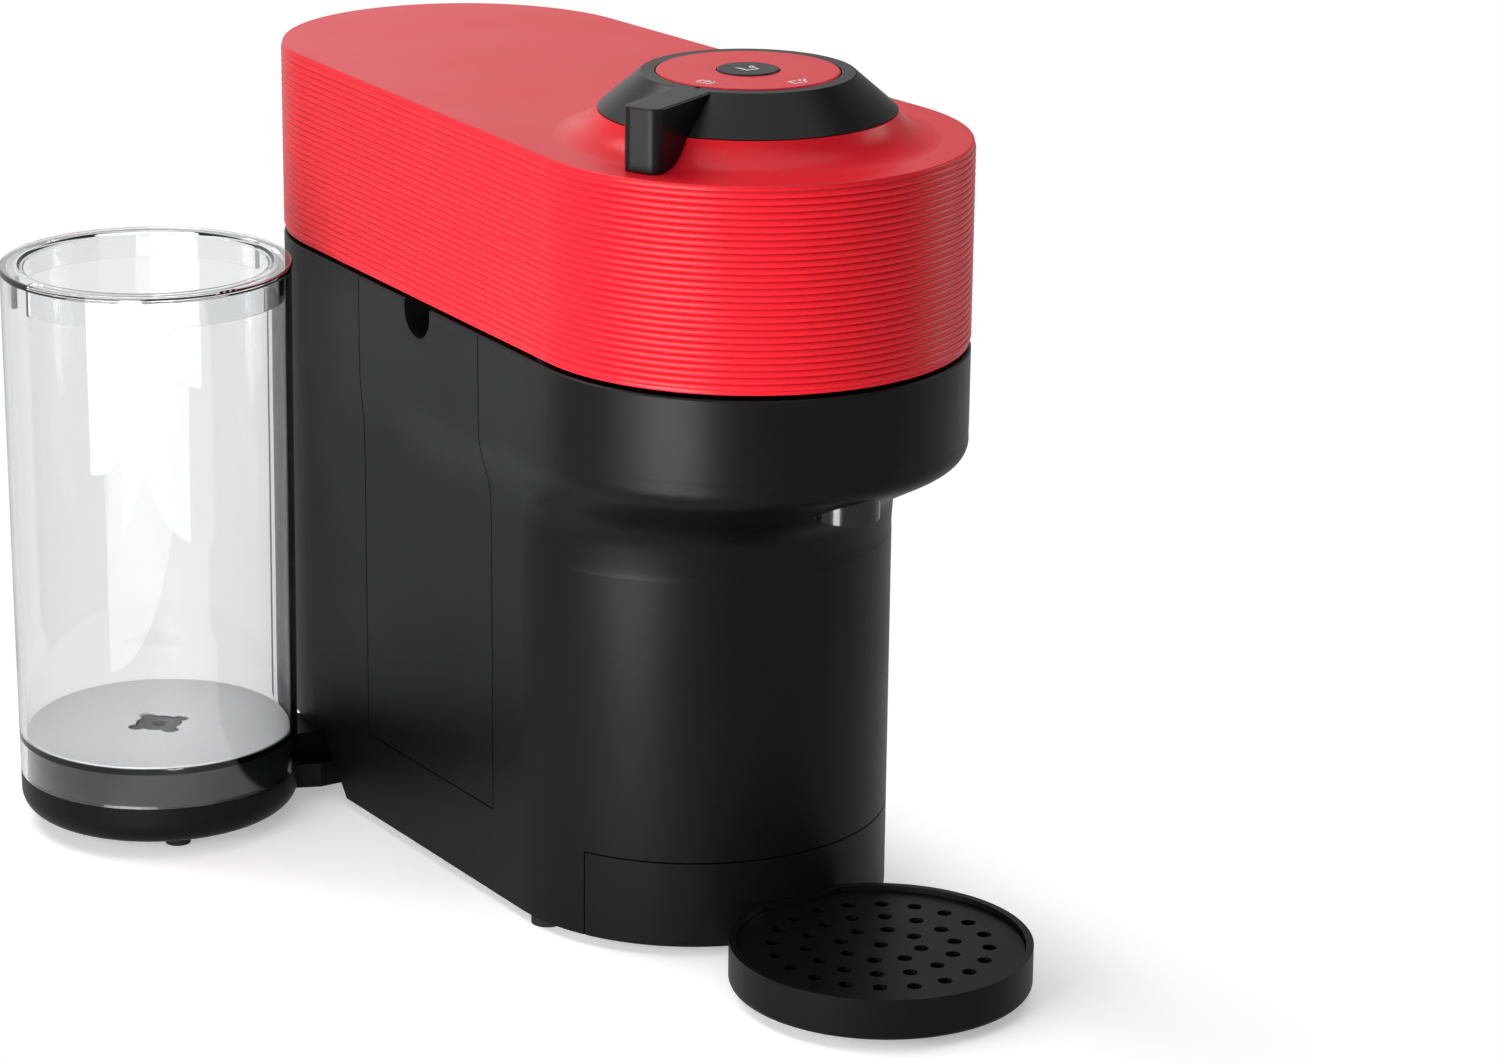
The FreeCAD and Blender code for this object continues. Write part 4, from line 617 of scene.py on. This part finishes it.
# Mirrors lose a share of it, clear walls don't
glossy = add(tree, "ShaderNodeMath", {
    0: path.outputs["Is Glossy Ray"], 1: path.outputs["Is Transmission Ray"],
}, operation="SUBTRACT", use_clamp=True)
loss = add(tree, "ShaderNodeMath", {
    0: glossy.outputs["Value"], 1: 1.0 - GLOSSY_SHARE,
}, operation="MULTIPLY")
dimmed = add(tree, "ShaderNodeMixShader", {0: loss.outputs["Value"], 1: lit.outputs["Shader"]})
add(tree, "ShaderNodeOutputMaterial", {"Surface": dimmed.outputs["Shader"]})
floor.data.materials.append(paper)
print("floor", FLOOR_SIZE, "m wide, white from", FADE, "m round the machine")

# %% [markdown]
# The world is the room round the machine. The camera and clear walls see it plain white, and matt surfaces
# get only a faint fill from it. Glossy surfaces see a room that is darker overhead and on the right, so that
# the black plastic has bright and dark sides.

# %% World
FILL, ROOM = 0.08, 0.85
OVERHEAD, OVERHEAD_FROM, OVERHEAD_TO = 0.3, 0.35, 0.75
RIGHT_WALL, RIGHT_FROM, RIGHT_TO = 0.35, 0.45, 0.65

world = bpy.data.worlds.new("white_studio")
bpy.context.scene.world = world
world.use_nodes = True
tree = world.node_tree
tree.nodes.clear()
path = add(tree, "ShaderNodeLightPath")
ray = add(tree, "ShaderNodeSeparateXYZ", {"Vector": add(tree, "ShaderNodeTexCoord").outputs["Generated"]})
ceiling = add(tree, "ShaderNodeMapRange", {
    "Value": ray.outputs["Z"], "From Min": OVERHEAD_FROM, "From Max": OVERHEAD_TO,
    "To Min": 1.0, "To Max": OVERHEAD,
}, interpolation_type="SMOOTHSTEP")
right_wall = add(tree, "ShaderNodeMapRange", {
    "Value": ray.outputs["X"], "From Min": RIGHT_FROM, "From Max": RIGHT_TO,
    "To Min": 1.0, "To Max": RIGHT_WALL,
}, interpolation_type="SMOOTHSTEP")
walls = add(tree, "ShaderNodeMath", {
    0: ceiling.outputs["Result"], 1: right_wall.outputs["Result"],
}, operation="MULTIPLY")
room = add(tree, "ShaderNodeMath", {0: walls.outputs["Value"], 1: ROOM}, operation="MULTIPLY")
mirrored = add(tree, "ShaderNodeMix", {
    "Factor": path.outputs["Is Glossy Ray"], "A": FILL, "B": room.outputs["Value"],
})
clear = add(tree, "ShaderNodeMath", {
    0: path.outputs["Is Camera Ray"], 1: path.outputs["Is Transmission Ray"],
}, operation="MAXIMUM")
level = add(tree, "ShaderNodeMix", {
    "Factor": clear.outputs["Value"], "A": mirrored.outputs["Result"], "B": 1.0,
})
sky = add(tree, "ShaderNodeBackground", {"Color": WHITE, "Strength": level.outputs["Result"]})
add(tree, "ShaderNodeOutputWorld", {"Surface": sky.outputs["Background"]})
print("world", world.name, "with", len(tree.nodes), "nodes")

# %% [markdown]
# The machine stands in a product studio. A large box above and one behind it light the tops, a low strip and
# a panel on the tank's side draw the bright bands down the column and the red wall, and a box from the right
# lifts the far edge. A card close to the red wall sends light up into its ribs. It only fills: it is kept out
# of reflections, because a real one would be cut out of the picture. A small strip near the ground does the
# opposite: it leaves matt surfaces alone and only shows as a gloss low on the black walls.

# %% Lights
CENTRE = (-0.02, 0.05, 0.13)
TURN_Y = 0.03


def soft_box(name, place, target, size, power):
    """Area light of a size in metres that looks at a target."""
    data = bpy.data.lights.new(name, "AREA")
    data.shape = "RECTANGLE"
    data.size, data.size_y = size
    data.energy = power
    lamp = bpy.data.objects.new(name, data)
    bpy.context.scene.collection.objects.link(lamp)
    aim = (Vector(target) - Vector(place)).to_track_quat("-Z", "Y")
    lamp.matrix_world = Matrix.Translation(Vector(place)) @ aim.to_matrix().to_4x4()
    return lamp


def around(turn, distance, height):
    """Place at a turn about the machine: 0 in front, 90 on the tank's side, 180 behind."""
    angle = math.radians(turn)
    return (-distance * math.sin(angle), TURN_Y - distance * math.cos(angle), height)


card = soft_box("card_near", around(68, 0.3, 0.04), (-0.04, 0.02, 0.3), (0.3, 0.34), 0.85)
card.visible_glossy = False
soft_box("strip_low", around(70, 0.5, 0.14), (0.0, 0.03, 0.14), (0.4, 0.28), 1.9)
foot = soft_box("strip_foot", around(64, 0.42, 0.04), (0.0, -0.02, 0.1), (0.16, 0.1), 0.6)
foot.visible_diffuse = False
soft_box("panel_left", around(66, 0.9, 0.4), (0.0, 0.03, 0.2), (0.6, 0.6), 0.8)
soft_box("top_box", (-0.1, 0.0, 2.0), CENTRE, (2.0, 2.0), 17.0)
soft_box("top_back", around(150, 1.1, 1.6), CENTRE, (0.8, 0.8), 13.0)
soft_box("right_soft", around(-80, 1.6, 0.7), CENTRE, (0.6, 0.9), 5.0)

# %% [markdown]
# The camera stands where the photograph was taken from. Its place, turn and lens were found from points of
# known height and radius on the machine, so it needs no shift. The Standard view shows colours as they are
# written.

# %% Camera
SENSOR_MM, LENS_MM = 36.0, 112.716
FAR_CLIP = 50.0
CAMERA_AT = Vector((-0.7546, -1.1136, 0.54784))
TURN, DIP, ROLL = (math.radians(angle) for angle in (34.213, 17.571, 0.680))

camera_data = bpy.data.cameras.new("photo_camera")
camera_data.sensor_width = SENSOR_MM
camera_data.lens = LENS_MM
camera_data.clip_end = FAR_CLIP
camera = bpy.data.objects.new("photo_camera", camera_data)
bpy.context.scene.collection.objects.link(camera)
back = Vector((-math.sin(TURN) * math.cos(DIP), -math.cos(TURN) * math.cos(DIP), math.sin(DIP)))
level_right = Vector((math.cos(TURN), -math.sin(TURN), 0.0))
level_up = back.cross(level_right)
right = level_right * math.cos(ROLL) + level_up * math.sin(ROLL)
up = back.cross(right)
turned = Matrix((right, up, back)).transposed()
camera.matrix_world = Matrix.Translation(CAMERA_AT) @ turned.to_4x4()
bpy.context.scene.camera = camera
bpy.context.scene.view_settings.view_transform = "Standard"
print("camera", [round(c, 4) for c in camera.matrix_world.translation])
